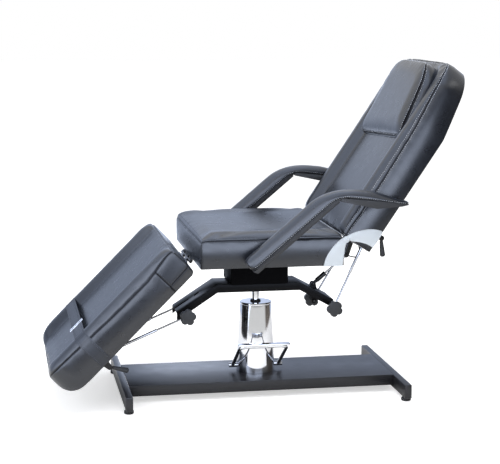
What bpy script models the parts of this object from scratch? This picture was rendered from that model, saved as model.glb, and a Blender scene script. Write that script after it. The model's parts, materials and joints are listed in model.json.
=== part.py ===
"""Hydraulic massage bed: steel base, pump, gull-wing beam and three hinged cushions.

Metres, +Z up. +X runs from the foot end to the head end and -Y is the side the photo shows.
The backrest stands at its photo angle, the leg rest hangs at its photo angle.
"""
import math

import bmesh
import bpy
from mathutils import Matrix, Vector

# Clearances
GAP = 0.0003
SWING_GAP = 0.0012

# Base
BASE_LENGTH = 1.0
BASE_WIDTH = 0.62
RAIL_WIDTH = 0.025
RAIL_HEIGHT = 0.050
FOOT_HEIGHT = 0.012
FOOT_RADIUS = 0.017
FOOT_INSET = 0.030
PLATE_WIDTH = 0.316
PLATE_FLANGE = 0.038
PLATE_SHEET = 0.003

# Hydraulic pump and pedal
COVER_HEIGHT = 0.255
COVER_BOTTOM_RADIUS = 0.070
COVER_TOP_RADIUS = 0.056
COVER_WALL = 0.0025
PUMP_RADIUS = 0.030
PISTON_RADIUS = 0.0125
PISTON_SHOWN = 0.047
PISTON_ENGAGED = 0.155
WIPER_WIDTH = 0.0055
WIPER_HEIGHT = 0.006
PEDAL_AXIS_RISE = 0.0205
PEDAL_REACH = 0.198
PEDAL_ANGLE = math.radians(32)
PEDAL_SPREAD = 0.084
PEDAL_ROD = 0.0065
PEDAL_STUB = 0.008
TREAD_DEPTH = 0.026
TREAD_THICKNESS = 0.007

# Beam and riser
BEAM_WIDTH = 0.136
BEAM_DEPTH = 0.028
BEAM_SHEET = 0.004
BEAM_FLAT = 0.149
FOOT_ARM_RUN = 0.145
FOOT_ARM_DROP = 0.093
HEAD_ARM_RUN = 0.124
HEAD_ARM_DROP = 0.067
RISER_LENGTH = 0.206
RISER_WIDTH = 0.170
RISER_HEIGHT = 0.103

# Cushions
BED_WIDTH = 0.666
BOARD = 0.015
SEAT_LENGTH = 0.491
SEAT_REAR = 0.247
SIDE_HEIGHT = 0.102
BOLSTER_RISE = 0.014
PANEL_DROP = 0.004
PANEL_CROWN = 0.006
BACK_LENGTH = 0.700
BACK_THICKNESS = 0.104
HEAD_THIN = 0.042
HEAD_ROUND = 0.095
LEG_LENGTH = 0.606
LEG_THICKNESS = 0.109
LEG_ROUND = 0.075
END_ROUND = 0.028
PILLOW_START = 0.372
PILLOW_LENGTH = 0.285
PILLOW_WIDTH = 0.470
PILLOW_THICKNESS = 0.066

# Hinges
HINGE_CREASE = 0.006
HINGE_DROP = 0.011
LEG_HINGE_DROP = 0.0095
BACK_ANGLE = math.radians(56)
LEG_ANGLE = math.radians(45)
PANEL_SPAN = 0.082
PANEL_SKIN = 0.008
HINGE_SHEET = 0.004
HINGE_PIN = 0.005
LEG_PIN = 0.0025
LEG_HINGE_HALF = 0.110

# Armrests
ARM_WIDTH = 0.070
ARM_CLEAR = 0.012
ARM_BOARD = 0.016
ARM_PAD = 0.044
ARM_SEAT_PIVOT = Vector((-0.060, 0.0, 0.0100))
ARM_LOWER_LENGTH = 0.3556
ARM_LOWER_ANGLE = math.radians(40.1)
ARM_UPPER_LENGTH = 0.2073
ARM_UPPER_ANGLE = math.radians(-6.4)
ELBOW_RADIUS = 0.006
ELBOW_PIN = 0.003

# Struts, locking rod, knobs and release levers
ROD_RADIUS = 0.0034
TUBE_RADIUS = 0.0052
BOLT_RADIUS = 0.004
HUB_RADIUS = 0.008
BACK_STRUT_Y = 0.0875
LEG_STRUT_Y = 0.096
BACK_LUG_ALONG = 0.058
BACK_LUG_BELOW = 0.030
LOCK_LUG_ALONG = -0.0473
LOCK_LUG_BELOW = 0.0323
LOCK_LUG_OUTER = 0.0095
LEG_LUG_ALONG = 0.438
LEG_LUG_BELOW = 0.0215
STRUT_OVERLAP = 0.025
LOCK_RADIUS = 0.0085
LOCK_NECK = 0.0062
LOCK_BODY = 0.060
LOCK_TAIL = 0.030
KNOB_RADIUS = 0.029
KNOB_THICKNESS = 0.020
KNOB_LOBES = 5
GRIP_RADIUS = 0.0095
GRIP_NECK = 0.0056
GRIP_START = 0.010
GRIP_LENGTH = 0.052
STRAP_START = 0.408
STRAP_WIDTH = 0.045
STRAP_SHEET = 0.002
BUCKLE_WIRE = 0.004
CABLE_RADIUS = 0.0022

# Levels and points that follow from the sizes above
RAIL_TOP = FOOT_HEIGHT + GAP + RAIL_HEIGHT
COVER_TOP = RAIL_TOP + GAP + COVER_HEIGHT
PEDAL_AXIS_Z = RAIL_TOP + PEDAL_AXIS_RISE
BEAM_TOP = COVER_TOP + PISTON_SHOWN + BEAM_DEPTH
SEAT_BOTTOM = BEAM_TOP + RISER_HEIGHT + 2 * GAP
SEAT_SEAM = SEAT_BOTTOM + SIDE_HEIGHT
SEAT_FRONT = SEAT_REAR - SEAT_LENGTH
HALF_BED = BED_WIDTH / 2
HALF_BEAM = BEAM_WIDTH / 2
BACK_HINGE = Vector((SEAT_REAR + HINGE_CREASE, 0.0, SEAT_SEAM - HINGE_DROP))
LEG_HINGE = Vector((SEAT_FRONT - HINGE_CREASE, 0.0, SEAT_BOTTOM - LEG_HINGE_DROP))
BACK_SEAM = HINGE_DROP - 0.004
BACK_REAR = BACK_SEAM - BACK_THICKNESS
LEG_BOTTOM = LEG_HINGE_DROP
LEG_SEAM = LEG_BOTTOM + LEG_THICKNESS
ARM_INNER = HALF_BED + ARM_CLEAR
ARM_OUTER = ARM_INNER + ARM_WIDTH
ARM_BOSS = ARM_BOARD / 2 - 0.0025
BOARD_INSET = PANEL_SKIN + HINGE_SHEET + 2 * GAP
BEAM_ROOF = BEAM_SHEET * 1.08
LOCK_EAR = LOCK_RADIUS + SWING_GAP + 0.003
BACK_STRUT_LUG = (BACK_LUG_ALONG, BACK_REAR - BACK_LUG_BELOW)
LOCK_LUG = (LOCK_LUG_ALONG, BACK_REAR - LOCK_LUG_BELOW)
LEG_STRUT_LUG = (-LEG_LUG_ALONG, LEG_BOTTOM - LEG_LUG_BELOW)
SIDES = (("near", -1.0), ("far", 1.0))


def clear_scene():
    """Empty the scene of objects."""
    for item in list(bpy.data.objects):
        bpy.data.objects.remove(item, do_unlink=True)


def make_material(name, colour, roughness, metallic):
    """A plain Principled material."""
    material = bpy.data.materials.new(name)
    material.use_nodes = True
    shader = material.node_tree.nodes["Principled BSDF"]
    shader.inputs["Base Color"].default_value = (*colour, 1.0)
    shader.inputs["Roughness"].default_value = roughness
    shader.inputs["Metallic"].default_value = metallic
    return material


def add_object(name, bm):
    """Turn a bmesh into a linked object with outward normals."""
    bmesh.ops.recalc_face_normals(bm, faces=bm.faces)
    mesh = bpy.data.meshes.new(name)
    bm.to_mesh(mesh)
    bm.free()
    item = bpy.data.objects.new(name, mesh)
    bpy.context.collection.objects.link(item)
    return item


def finish(item, material, parent=None):
    """Give an object its material and hang it on its joint's empty."""
    item.data.materials.clear()
    item.data.materials.append(material)
    if parent is not None:
        item.parent = parent
    return item


def box(name, low, high, bevel=0.0):
    """An axis-aligned block, its edges rounded when a bevel is given."""
    bm = bmesh.new()
    size = [b - a for a, b in zip(low, high)]
    middle = [(a + b) / 2 for a, b in zip(low, high)]
    bmesh.ops.create_cube(bm, size=1.0)
    bmesh.ops.scale(bm, vec=size, verts=bm.verts)
    bmesh.ops.translate(bm, vec=middle, verts=bm.verts)
    if bevel > 0:
        bmesh.ops.bevel(bm, geom=bm.edges[:], offset=bevel, segments=2, affect="EDGES", profile=0.5)
    return add_object(name, bm)


def prism(name, outline, start, end, axis="Y"):
    """Extrude an outline of the XZ plane along Y, or of the YZ plane along X."""
    bm = bmesh.new()
    if axis == "Y":
        corners = [bm.verts.new((a, start, b)) for a, b in outline]
        step = Vector((0.0, end - start, 0.0))
    else:
        corners = [bm.verts.new((start, a, b)) for a, b in outline]
        step = Vector((end - start, 0.0, 0.0))
    face = bm.faces.new(corners)
    grown = bmesh.ops.extrude_face_region(bm, geom=[face])
    moved = [part for part in grown["geom"] if isinstance(part, bmesh.types.BMVert)]
    bmesh.ops.translate(bm, vec=step, verts=moved)
    return add_object(name, bm)


def cylinder(name, start, end, radius, segments=20, end_radius=None):
    """A round bar between two points, tapered if its end has a radius of its own."""
    start, end = Vector(start), Vector(end)
    bm = bmesh.new()
    bmesh.ops.create_cone(bm, cap_ends=True, segments=segments, radius1=radius,
                          radius2=radius if end_radius is None else end_radius, depth=(end - start).length)
    turn = (end - start).to_track_quat("Z", "Y").to_matrix().to_4x4()
    bmesh.ops.transform(bm, matrix=Matrix.Translation((start + end) / 2) @ turn, verts=bm.verts)
    return add_object(name, bm)


def lathe(name, outline, segments=40):
    """Turn a closed (radius, height) outline about Z."""
    bm = bmesh.new()
    corners = [bm.verts.new((radius, 0.0, height)) for radius, height in outline]
    edges = [bm.edges.new((corners[i - 1], corners[i])) for i in range(len(corners))]
    bmesh.ops.spin(bm, geom=corners + edges, cent=(0, 0, 0), axis=(0, 0, 1),
                   angle=2 * math.pi, steps=segments, use_merge=True)
    bmesh.ops.remove_doubles(bm, verts=bm.verts, dist=0.00001)
    return add_object(name, bm)


def rod_along(name, points, radius, segments=12):
    """A round rod swept along a path, its corners taken by the path's own points."""
    path = [Vector(point) for point in points]
    bm = bmesh.new()
    rings = []
    side = None
    for index, point in enumerate(path):
        ahead = (path[min(index + 1, len(path) - 1)] - point)
        behind = (point - path[max(index - 1, 0)])
        tangent = (ahead.normalized() + behind.normalized()).normalized()
        if side is None:
            side = tangent.orthogonal().normalized()
        side = (side - tangent * side.dot(tangent)).normalized()
        other = tangent.cross(side)
        ring = []
        for step in range(segments):
            angle = 2 * math.pi * step / segments
            ring.append(bm.verts.new(point + radius * (math.cos(angle) * side + math.sin(angle) * other)))
        rings.append(ring)
    for first, second in zip(rings, rings[1:]):
        for step in range(segments):
            after = (step + 1) % segments
            bm.faces.new((first[step], first[after], second[after], second[step]))
    bm.faces.new(rings[0])
    bm.faces.new(rings[-1])
    return add_object(name, bm)


def combine(body, tools, operation):
    """Apply one exact boolean for each tool and remove the tools."""
    for tool in tools:
        step = body.modifiers.new(operation.title(), "BOOLEAN")
        step.operation = operation
        step.solver = "EXACT"
        step.object = tool
    graph = bpy.context.evaluated_depsgraph_get()
    graph.update()
    shaped = bpy.data.meshes.new_from_object(body.evaluated_get(graph))
    body.modifiers.clear()
    worn = body.data
    body.data = shaped
    bpy.data.meshes.remove(worn)
    for tool in tools:
        bpy.data.objects.remove(tool, do_unlink=True)
    return body


def join_solids(body, *tools):
    """Weld solids into one body."""
    return combine(body, tools, "UNION")


def cut(body, *tools):
    """Take solids out of a body."""
    return combine(body, tools, "DIFFERENCE")


def pivot(name, point, angle, parent=None):
    """An empty on a joint's axis, turned so that its local X runs along the moving piece."""
    empty = bpy.data.objects.new(name, None)
    empty.empty_display_size = 0.05
    bpy.context.collection.objects.link(empty)
    empty.location = point
    empty.rotation_euler = (0.0, -angle, 0.0)
    empty.parent = parent
    return empty


def arc(centre, radius, start, end, steps):
    """Points of an arc in a plane."""
    points = []
    for step in range(steps + 1):
        angle = start + (end - start) * step / steps
        points.append((centre[0] + radius * math.cos(angle), centre[1] + radius * math.sin(angle)))
    return points


def cushion_section(half, bottom, seam, crest, panel):
    """Half outline of a bolstered cushion, from the middle of its base to the middle of its top."""
    height = seam - bottom
    return [
        (0.0, bottom),
        (half - 0.009, bottom),
        (half, bottom + 0.25 * height),
        (half - 0.003, seam - 0.004),
        (half - 0.010, seam + 0.003),
        (half - 0.032, crest - 0.003),
        (half - 0.056, crest),
        (half - 0.086, crest - 0.006),
        (half - 0.108, panel + 0.001),
        (half - 0.122, panel),
        (0.0, panel + PANEL_CROWN),
    ]


def cushion(name, stations):
    """Loft a cushion through sections standing along X: (x, half width, bottom, seam, crest, panel)."""
    bm = bmesh.new()
    rings = []
    for x, half, bottom, seam, crest, panel in stations:
        right = cushion_section(half, bottom, seam, crest, panel)
        loop = right + [(-y, z) for y, z in reversed(right[1:-1])]
        rings.append([bm.verts.new((x, y, z)) for y, z in loop])
    count = len(rings[0])
    for first, second in zip(rings, rings[1:]):
        for step in range(count):
            after = (step + 1) % count
            bm.faces.new((first[step], first[after], second[after], second[step]))
    bm.faces.new(rings[0])
    bm.faces.new(rings[-1])
    return add_object(name, bm)


def rounded_end(distance, radius):
    """How far a rounded end has dropped at a distance from its tip."""
    if distance >= radius:
        return 0.0
    return radius - math.sqrt(radius * radius - (radius - distance) ** 2)


def end_steps(radius):
    """Distances from an end at which its rounding is drawn."""
    return [radius * share for share in (0.0, 0.12, 0.4, 1.0)]


def build_base(looks):
    """Two rails, the folded plate between them and the four feet."""
    half_length = BASE_LENGTH / 2
    half_width = BASE_WIDTH / 2
    low = FOOT_HEIGHT + GAP
    for name, outer in (("rail_foot", -half_length), ("rail_head", half_length - RAIL_WIDTH)):
        rail = box(name, (outer, -half_width, low), (outer + RAIL_WIDTH, half_width, RAIL_TOP), 0.003)
        finish(rail, looks["steel"])
    half_plate = PLATE_WIDTH / 2
    inner = half_plate - PLATE_SHEET
    fold = [(-half_plate, RAIL_TOP), (half_plate, RAIL_TOP), (half_plate, RAIL_TOP - PLATE_FLANGE),
            (inner, RAIL_TOP - PLATE_FLANGE), (inner, RAIL_TOP - PLATE_SHEET),
            (-inner, RAIL_TOP - PLATE_SHEET), (-inner, RAIL_TOP - PLATE_FLANGE),
            (-half_plate, RAIL_TOP - PLATE_FLANGE)]
    reach = half_length - RAIL_WIDTH - GAP
    finish(prism("base_plate", fold, -reach, reach, "X"), looks["steel"])
    pad = [(0.0001, 0.0), (FOOT_RADIUS - 0.002, 0.0), (FOOT_RADIUS, 0.002),
           (FOOT_RADIUS, FOOT_HEIGHT - 0.002), (FOOT_RADIUS - 0.002, FOOT_HEIGHT), (0.0001, FOOT_HEIGHT)]
    number = 0
    for x in (-half_length + RAIL_WIDTH / 2, half_length - RAIL_WIDTH / 2):
        for y in (-half_width + FOOT_INSET, half_width - FOOT_INSET):
            number += 1
            foot = disc("foot_%d" % number, pad)
            foot.location = (x, y, 0.0)
            finish(foot, looks["rubber"])


def disc(name, outline, segments=24):
    """A solid turned about Z from an outline that starts and ends on the axis."""
    bm = bmesh.new()
    rings = []
    for radius, height in outline[1:-1]:
        ring = []
        for step in range(segments):
            angle = 2 * math.pi * step / segments
            ring.append(bm.verts.new((radius * math.cos(angle), radius * math.sin(angle), height)))
        rings.append(ring)
    for first, second in zip(rings, rings[1:]):
        for step in range(segments):
            after = (step + 1) % segments
            bm.faces.new((first[step], first[after], second[after], second[step]))
    bm.faces.new(rings[0])
    bm.faces.new(rings[-1])
    return add_object(name, bm)


def build_pump(looks):
    """Chrome cover, the cylinder inside it, the wiper ring and the piston."""
    base = RAIL_TOP + GAP
    hole = PISTON_RADIUS + GAP + 0.004
    lip = 0.004
    shell = [(COVER_BOTTOM_RADIUS, base), (COVER_TOP_RADIUS, COVER_TOP - lip),
             (COVER_TOP_RADIUS - 0.3 * lip, COVER_TOP - 0.3 * lip), (COVER_TOP_RADIUS - lip, COVER_TOP),
             (hole, COVER_TOP), (hole, COVER_TOP - COVER_WALL),
             (COVER_TOP_RADIUS - lip, COVER_TOP - COVER_WALL),
             (COVER_TOP_RADIUS - COVER_WALL, COVER_TOP - lip), (COVER_BOTTOM_RADIUS - COVER_WALL, base)]
    cover = lathe("pump_cover", shell, 48)
    reach = COVER_BOTTOM_RADIUS + 0.02
    slot = cylinder("slot", (-reach, 0, PEDAL_AXIS_Z), (reach, 0, PEDAL_AXIS_Z), PEDAL_STUB + GAP)
    finish(cut(cover, slot), looks["chrome"])

    bore = PISTON_RADIUS + GAP
    top = COVER_TOP - COVER_WALL - SWING_GAP
    flange = COVER_BOTTOM_RADIUS - COVER_WALL - 0.006
    floor = base + 0.012
    body = [(0.0, base), (flange, base), (flange, base + 0.007), (PUMP_RADIUS, base + 0.010),
            (PUMP_RADIUS, top), (bore, top), (bore, floor), (0.0, floor)]
    finish(disc("pump_cylinder", body, 32), looks["steel"])

    outer = bore + WIPER_WIDTH
    ring = [(bore, COVER_TOP + GAP), (outer, COVER_TOP + GAP), (outer, COVER_TOP + WIPER_HEIGHT - 0.002),
            (outer - 0.002, COVER_TOP + WIPER_HEIGHT), (bore, COVER_TOP + WIPER_HEIGHT)]
    finish(lathe("wiper_ring", ring, 32), looks["plastic"])

    low = COVER_TOP - PISTON_ENGAGED
    high = BEAM_TOP - BEAM_ROOF - GAP
    stem = [(0.0, low), (PISTON_RADIUS - 0.001, low), (PISTON_RADIUS, low + 0.001), (PISTON_RADIUS, high),
            (0.0, high)]
    finish(disc("piston", stem, 32), looks["chrome"])


def build_pedal(looks):
    """Foot pedal: a bent rod on two stub axles, with a flat tread."""
    axis = pivot("pedal_axis", (0.0, 0.0, PEDAL_AXIS_Z), 0.0)
    y = -PEDAL_REACH * math.cos(PEDAL_ANGLE)
    z = PEDAL_REACH * math.sin(PEDAL_ANGLE)
    bend = 0.02
    back = Vector((0.0, -y, -z)).normalized() * bend
    corner = Vector((PEDAL_SPREAD, y, z))
    side = [Vector((PEDAL_SPREAD, 0.0, 0.0)), corner + back,
            corner + back * 0.3 - Vector((bend * 0.3, 0, 0)), corner - Vector((bend, 0, 0))]
    path = side + [Vector((-point.x, point.y, point.z)) for point in reversed(side)]
    pedal = rod_along("pedal", path, PEDAL_ROD)
    inner = COVER_BOTTOM_RADIUS - 0.014
    stubs = []
    for sign in (-1.0, 1.0):
        tip = sign * (PEDAL_SPREAD + 0.014)
        stubs.append(cylinder("stub", (sign * inner, 0, 0), (tip, 0, 0), PEDAL_STUB))
    half = PEDAL_SPREAD + 0.009
    plate = box("plate", (-half, y - TREAD_DEPTH / 2, z + PEDAL_ROD - TREAD_THICKNESS / 2),
                (half, y + TREAD_DEPTH / 2, z + PEDAL_ROD + TREAD_THICKNESS / 2), 0.002)
    finish(join_solids(pedal, plate, *stubs), looks["chrome"], axis)


def arm_top(x):
    """Height of the beam's top face at a station along it."""
    if x < -BEAM_FLAT:
        return BEAM_TOP - (-BEAM_FLAT - x) * FOOT_ARM_DROP / FOOT_ARM_RUN
    if x > BEAM_FLAT:
        return BEAM_TOP - (x - BEAM_FLAT) * HEAD_ARM_DROP / HEAD_ARM_RUN
    return BEAM_TOP


def strut_pivots():
    """Lower strut pivots on the beam's flanges: name to (x, z)."""
    foot_x = -BEAM_FLAT - FOOT_ARM_RUN + 0.033
    head_x = BEAM_FLAT + HEAD_ARM_RUN - 0.004
    far_x = head_x - 0.038
    return {
        "leg_near": (foot_x, arm_top(foot_x) - 0.031),
        "leg_far": (foot_x, arm_top(foot_x) - 0.031),
        "back_near": (head_x, arm_top(head_x) - 0.028),
        "back_far": (far_x, arm_top(far_x) - 0.052),
    }


def lock_pivot():
    """Pivot of the locking rod's housing, on ears above the beam's head arm."""
    x = BEAM_FLAT + 0.062
    return x, arm_top(x) + 0.014


def build_beam(looks):
    """Folded gull-wing beam with its slots, strut tab and lock ears."""
    left = -BEAM_FLAT - FOOT_ARM_RUN
    right = BEAM_FLAT + HEAD_ARM_RUN
    line = [(left, arm_top(left)), (-BEAM_FLAT, BEAM_TOP), (BEAM_FLAT, BEAM_TOP), (right, arm_top(right))]
    depth = BEAM_DEPTH * 1.12
    outline = line + [(x, z - (BEAM_DEPTH if abs(x) == BEAM_FLAT else depth)) for x, z in reversed(line)]
    beam = prism("beam", outline, -HALF_BEAM, HALF_BEAM)
    inner = HALF_BEAM - BEAM_SHEET
    sheet = BEAM_ROOF
    ends = [(left - 0.02, arm_top(left - 0.02) - sheet), (-BEAM_FLAT, BEAM_TOP - sheet),
            (BEAM_FLAT, BEAM_TOP - sheet), (right + 0.02, arm_top(right + 0.02) - sheet)]
    hollow = prism("hollow", ends + [(x, z - 0.08) for x, z in reversed(ends)], -inner, inner)
    cut(beam, hollow)

    tabs = []
    for name, (x, z) in strut_pivots().items():
        sign = -1.0 if name.endswith("near") else 1.0
        tab = [(x - 0.010, arm_top(x - 0.010) - 0.012), (x - 0.010, z)]
        tab += arc((x, z), 0.010, math.pi, 2 * math.pi, 8)[1:]
        tab.append((x + 0.010, arm_top(x + 0.010) - 0.012))
        tabs.append(prism("tab", tab, *side_span(sign, inner, HALF_BEAM)))
    lock_x, lock_z = lock_pivot()
    slope = HEAD_ARM_DROP / HEAD_ARM_RUN * 0.012
    for sign in (-1.0, 1.0):
        ear = [(lock_x - 0.014, arm_top(lock_x) + slope - 0.002), (lock_x - 0.009, lock_z)]
        ear += arc((lock_x, lock_z), 0.009, math.pi, 0.0, 8)[1:]
        ear.append((lock_x + 0.014, arm_top(lock_x) - slope - 0.002))
        tabs.append(prism("ear", ear, *side_span(sign, LOCK_EAR - 0.003, LOCK_EAR)))
    join_solids(beam, *tabs)

    holes = []
    for name, (x, z) in strut_pivots().items():
        sign = -1.0 if name.endswith("near") else 1.0
        holes.append(cylinder("hole", (x, sign * (inner - 0.01), z), (x, sign * (HALF_BEAM + 0.01), z),
                              BOLT_RADIUS + GAP))
    holes.append(cylinder("hole", (lock_x, -0.03, lock_z), (lock_x, 0.03, lock_z), 0.004 + GAP, 16))
    holes.append(box("slit", (lock_x - 0.030, -LOCK_RADIUS, lock_z - 0.06),
                     (lock_x + 0.022, LOCK_RADIUS, lock_z)))
    slant = math.atan2(FOOT_ARM_DROP, FOOT_ARM_RUN)
    for name, reach, half_long, half_wide in (("slot", 0.122, 0.032, 0.006), ("window", 0.066, 0.010, 0.010)):
        x = -BEAM_FLAT - reach
        slot = box(name, (-half_long, -half_wide, -0.02), (half_long, half_wide, 0.02))
        slot.rotation_euler = (0.0, -slant, 0.0)
        slot.location = (x, 0.0, arm_top(x))
        holes.append(slot)
    cut(beam, *holes)
    finish(beam, looks["steel"])

    low = BEAM_TOP + GAP
    riser = box("riser", (-RISER_LENGTH / 2, -RISER_WIDTH / 2, low),
                (RISER_LENGTH / 2, RISER_WIDTH / 2, low + RISER_HEIGHT), 0.004)
    wall = 2 * BEAM_SHEET
    inside = box("inside", (wall - RISER_LENGTH / 2, wall - RISER_WIDTH / 2, low - 0.01),
                 (RISER_LENGTH / 2 - wall, RISER_WIDTH / 2 - wall, low + RISER_HEIGHT + 0.01))
    finish(cut(riser, inside), looks["steel"])


def panel_outline(span, drop, inset):
    """Quarter-oval side panel: from its top corner round to its base, centred under the hinge."""
    points = [(-HINGE_CREASE, -drop)]
    for step in range(9):
        angle = math.pi / 2 * step / 8
        x = -HINGE_CREASE - (span - inset) * math.sin(angle)
        z = -drop + (drop + HINGE_DROP - 0.001 - inset) * math.cos(angle)
        points.append((x, z))
    return points


def mirrored(points):
    """An outline turned over end for end."""
    return [(-x, z) for x, z in points]


def shifted(points, centre):
    """An outline moved so that its zero lies on a hinge."""
    return [(x + centre.x, z + centre.z) for x, z in points]


def side_span(sign, first, second):
    """Two distances from the middle, put on one side and in rising order."""
    return sorted((sign * first, sign * second))


def panel_pocket(name, outline, centre, sign, layer):
    """The recess that a side panel and its hinge cheek sit in, and the round well for both eyes."""
    first, second = side_span(sign, cheek_layer(layer)[0] - GAP, HALF_BED + 0.02)
    top = outline[1][1] + 0.0005
    floor = outline[0][1] - 0.02
    beyond = -math.copysign(0.02, outline[1][0])
    rim = [(x + math.copysign(0.0005, x), z + 0.0005) for x, z in outline[2:]]
    grown = [(beyond, floor), (beyond, top)] + rim + [(rim[-1][0], floor)]
    wall = prism(name, shifted(grown, centre), first, second)
    first, second = side_span(sign, cheek_layer(1)[0] - GAP, HALF_BED - PANEL_SKIN)
    eye = cylinder("eye", (centre.x, first, centre.z), (centre.x, second, centre.z), 0.0125, 24)
    return [wall, eye]


def build_seat(looks):
    """Seat cushion on its board, with the side panels and the plates that carry the back hinge."""
    drop = BACK_HINGE.z - SEAT_BOTTOM
    stations = []
    crest = SEAT_SEAM + BOLSTER_RISE
    panel = SEAT_SEAM - PANEL_DROP
    for distance in end_steps(END_ROUND):
        fall = rounded_end(distance, END_ROUND)
        stations.append((SEAT_FRONT + distance, HALF_BED, SEAT_BOTTOM, SEAT_SEAM - fall * 0.3, crest - fall,
                         panel - 0.6 * fall))
    stations.append((SEAT_FRONT + SEAT_LENGTH / 2, HALF_BED, SEAT_BOTTOM, SEAT_SEAM, crest, panel))
    for distance in reversed(end_steps(END_ROUND)):
        fall = rounded_end(distance, END_ROUND)
        stations.append((SEAT_REAR - distance, HALF_BED, SEAT_BOTTOM, SEAT_SEAM - 0.7 * fall, crest - fall,
                         panel - 0.6 * fall))
    seat = cushion("seat_cushion", stations)
    inset = BOARD_INSET
    low = (SEAT_FRONT + inset, -HALF_BED + inset, SEAT_BOTTOM)
    high = (SEAT_REAR - inset, HALF_BED - inset, SEAT_BOTTOM + BOARD)
    pocket = box("pocket", (low[0] - GAP, low[1] - GAP, low[2] - 0.02), [value + GAP for value in high])
    outline = panel_outline(PANEL_SPAN, drop, 0.0)
    tools = [pocket]
    for _, sign in SIDES:
        start = (ARM_SEAT_PIVOT.x, sign * (HALF_BED - inset - 0.002), SEAT_BOTTOM + ARM_SEAT_PIVOT.z)
        end = (start[0], sign * (HALF_BED + 0.02), start[2])
        tools.append(cylinder("arm_hole", start, end, ARM_BOSS + GAP))
        tools += panel_pocket("recess", outline, BACK_HINGE, sign, 0)
    finish(cut(seat, *tools), looks["vinyl"])

    finish(box("seat_board", low, high), looks["board"])

    for side, sign in SIDES:
        first, second = side_span(sign, HALF_BED - PANEL_SKIN, HALF_BED)
        finish(prism("seat_panel_" + side, shifted(outline, BACK_HINGE), first, second), looks["white"])
        plate = hinge_plate("seat_hinge_" + side, panel_outline(PANEL_SPAN, drop, 0.008), sign, 0)
        first, second = side_span(sign, cheek_layer(1)[0], cheek_layer(0)[1] - 0.001)
        pin = cylinder("pin", (0, first, 0), (0, second, 0), HINGE_PIN)
        join_solids(plate, pin)
        plate.location = BACK_HINGE
        finish(plate, looks["steel"])
    build_leg_hinge(looks)


def slab(name, outline, low, high):
    """A flat board from its plan outline."""
    bm = bmesh.new()
    face = bm.faces.new([bm.verts.new((x, y, low)) for x, y in outline])
    grown = bmesh.ops.extrude_face_region(bm, geom=[face])
    moved = [part for part in grown["geom"] if isinstance(part, bmesh.types.BMVert)]
    bmesh.ops.translate(bm, vec=(0.0, 0.0, high - low), verts=moved)
    return add_object(name, bm)


def hinge_plate(name, outline, sign, layer):
    """A steel hinge cheek behind a side panel, with a round eye at the hinge."""
    first, second = side_span(sign, *cheek_layer(layer))
    plate = prism(name, outline, first, second)
    eye = cylinder("eye", (0, first, 0), (0, second, 0), 0.011, 24)
    return join_solids(plate, eye)


def build_leg_hinge(looks):
    """Broad hinge between the seat and the leg rest: two leaves, the pin welded to the seat's one."""
    half = LEG_HINGE_HALF
    knuckle = LEG_HINGE_DROP - 0.004
    top = SEAT_BOTTOM - GAP
    thick = 0.003
    spans = [half * value for value in (-1.0, -0.62, -0.2, 0.2, 0.62, 1.0)]
    leaf = box("seat_leaf", (LEG_HINGE.x + 0.004, -half, top - thick), (LEG_HINGE.x + 0.055, half, top))
    tools = []
    for first, second in ((spans[0], spans[1]), (spans[2], spans[3]), (spans[4], spans[5])):
        start = (LEG_HINGE.x, first, LEG_HINGE.z)
        tools.append(cylinder("knuckle", start, (LEG_HINGE.x, second, LEG_HINGE.z), knuckle, 16))
        tools.append(box("web", start, (LEG_HINGE.x + 0.008, second, top - 0.001)))
    pin = cylinder("pin", (LEG_HINGE.x, spans[0], LEG_HINGE.z), (LEG_HINGE.x, spans[5], LEG_HINGE.z),
                   LEG_PIN, 12)
    finish(join_solids(leaf, *tools, pin), looks["steel"])


def build_leg(looks, axis):
    """Leg rest, drawn level with its hinge at zero and the foot end at -X."""
    crest = LEG_SEAM + BOLSTER_RISE
    panel = LEG_SEAM - PANEL_DROP
    start = HINGE_CREASE + 0.002
    stations = []
    for distance in end_steps(END_ROUND):
        fall = rounded_end(distance, END_ROUND)
        stations.append((-start - distance, HALF_BED, LEG_BOTTOM, LEG_SEAM - 0.3 * fall, crest - fall,
                         panel - 0.6 * fall))
    stations.append((-LEG_LENGTH * 0.5, HALF_BED, LEG_BOTTOM, LEG_SEAM, crest, panel))
    for share in (1.0, 0.72, 0.48, 0.28, 0.12, 0.03, 0.0):
        distance = share * LEG_ROUND
        fall = rounded_end(distance, LEG_ROUND)
        top = 0.22 * fall
        stations.append((-LEG_LENGTH + distance, HALF_BED - fall, LEG_BOTTOM + 0.75 * fall, LEG_SEAM - top,
                         crest - 1.6 * top, panel - top))
    leg = cushion("leg_cushion", stations)
    half = HALF_BED - BOARD_INSET
    low = (-LEG_LENGTH + LEG_ROUND + 0.012, -half, LEG_BOTTOM)
    high = (-start - BOARD_INSET, half, LEG_BOTTOM + BOARD)
    pocket = box("pocket", (low[0] - GAP, low[1] - GAP, low[2] - 0.02), [value + GAP for value in high])
    finish(cut(leg, pocket), looks["vinyl"], axis)
    finish(box("leg_board", low, high), looks["board"], axis)

    reach = LEG_HINGE_HALF
    thick = 0.003
    knuckle = LEG_HINGE_DROP - 0.004
    spans = [reach * value for value in (-0.62, -0.2, 0.2, 0.62)]
    top = LEG_BOTTOM - GAP
    leaf = box("leg_leaf", (-0.055, -reach, top - thick), (-0.0075, reach, top))
    tools = []
    for first, second in ((spans[0], spans[1]), (spans[2], spans[3])):
        first, second = first + 0.0008, second - 0.0008
        tools.append(cylinder("knuckle", (0, first, 0), (0, second, 0), knuckle, 16))
        tools.append(box("web", (-0.010, first, 0.0), (0.0, second, top - 0.001)))
    join_solids(leaf, *tools)
    bore = cylinder("bore", (0, -reach, 0), (0, reach, 0), LEG_PIN + GAP, 12)
    finish(cut(leaf, bore), looks["steel"], axis)
    build_leg_fittings(looks, axis, crest)


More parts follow.
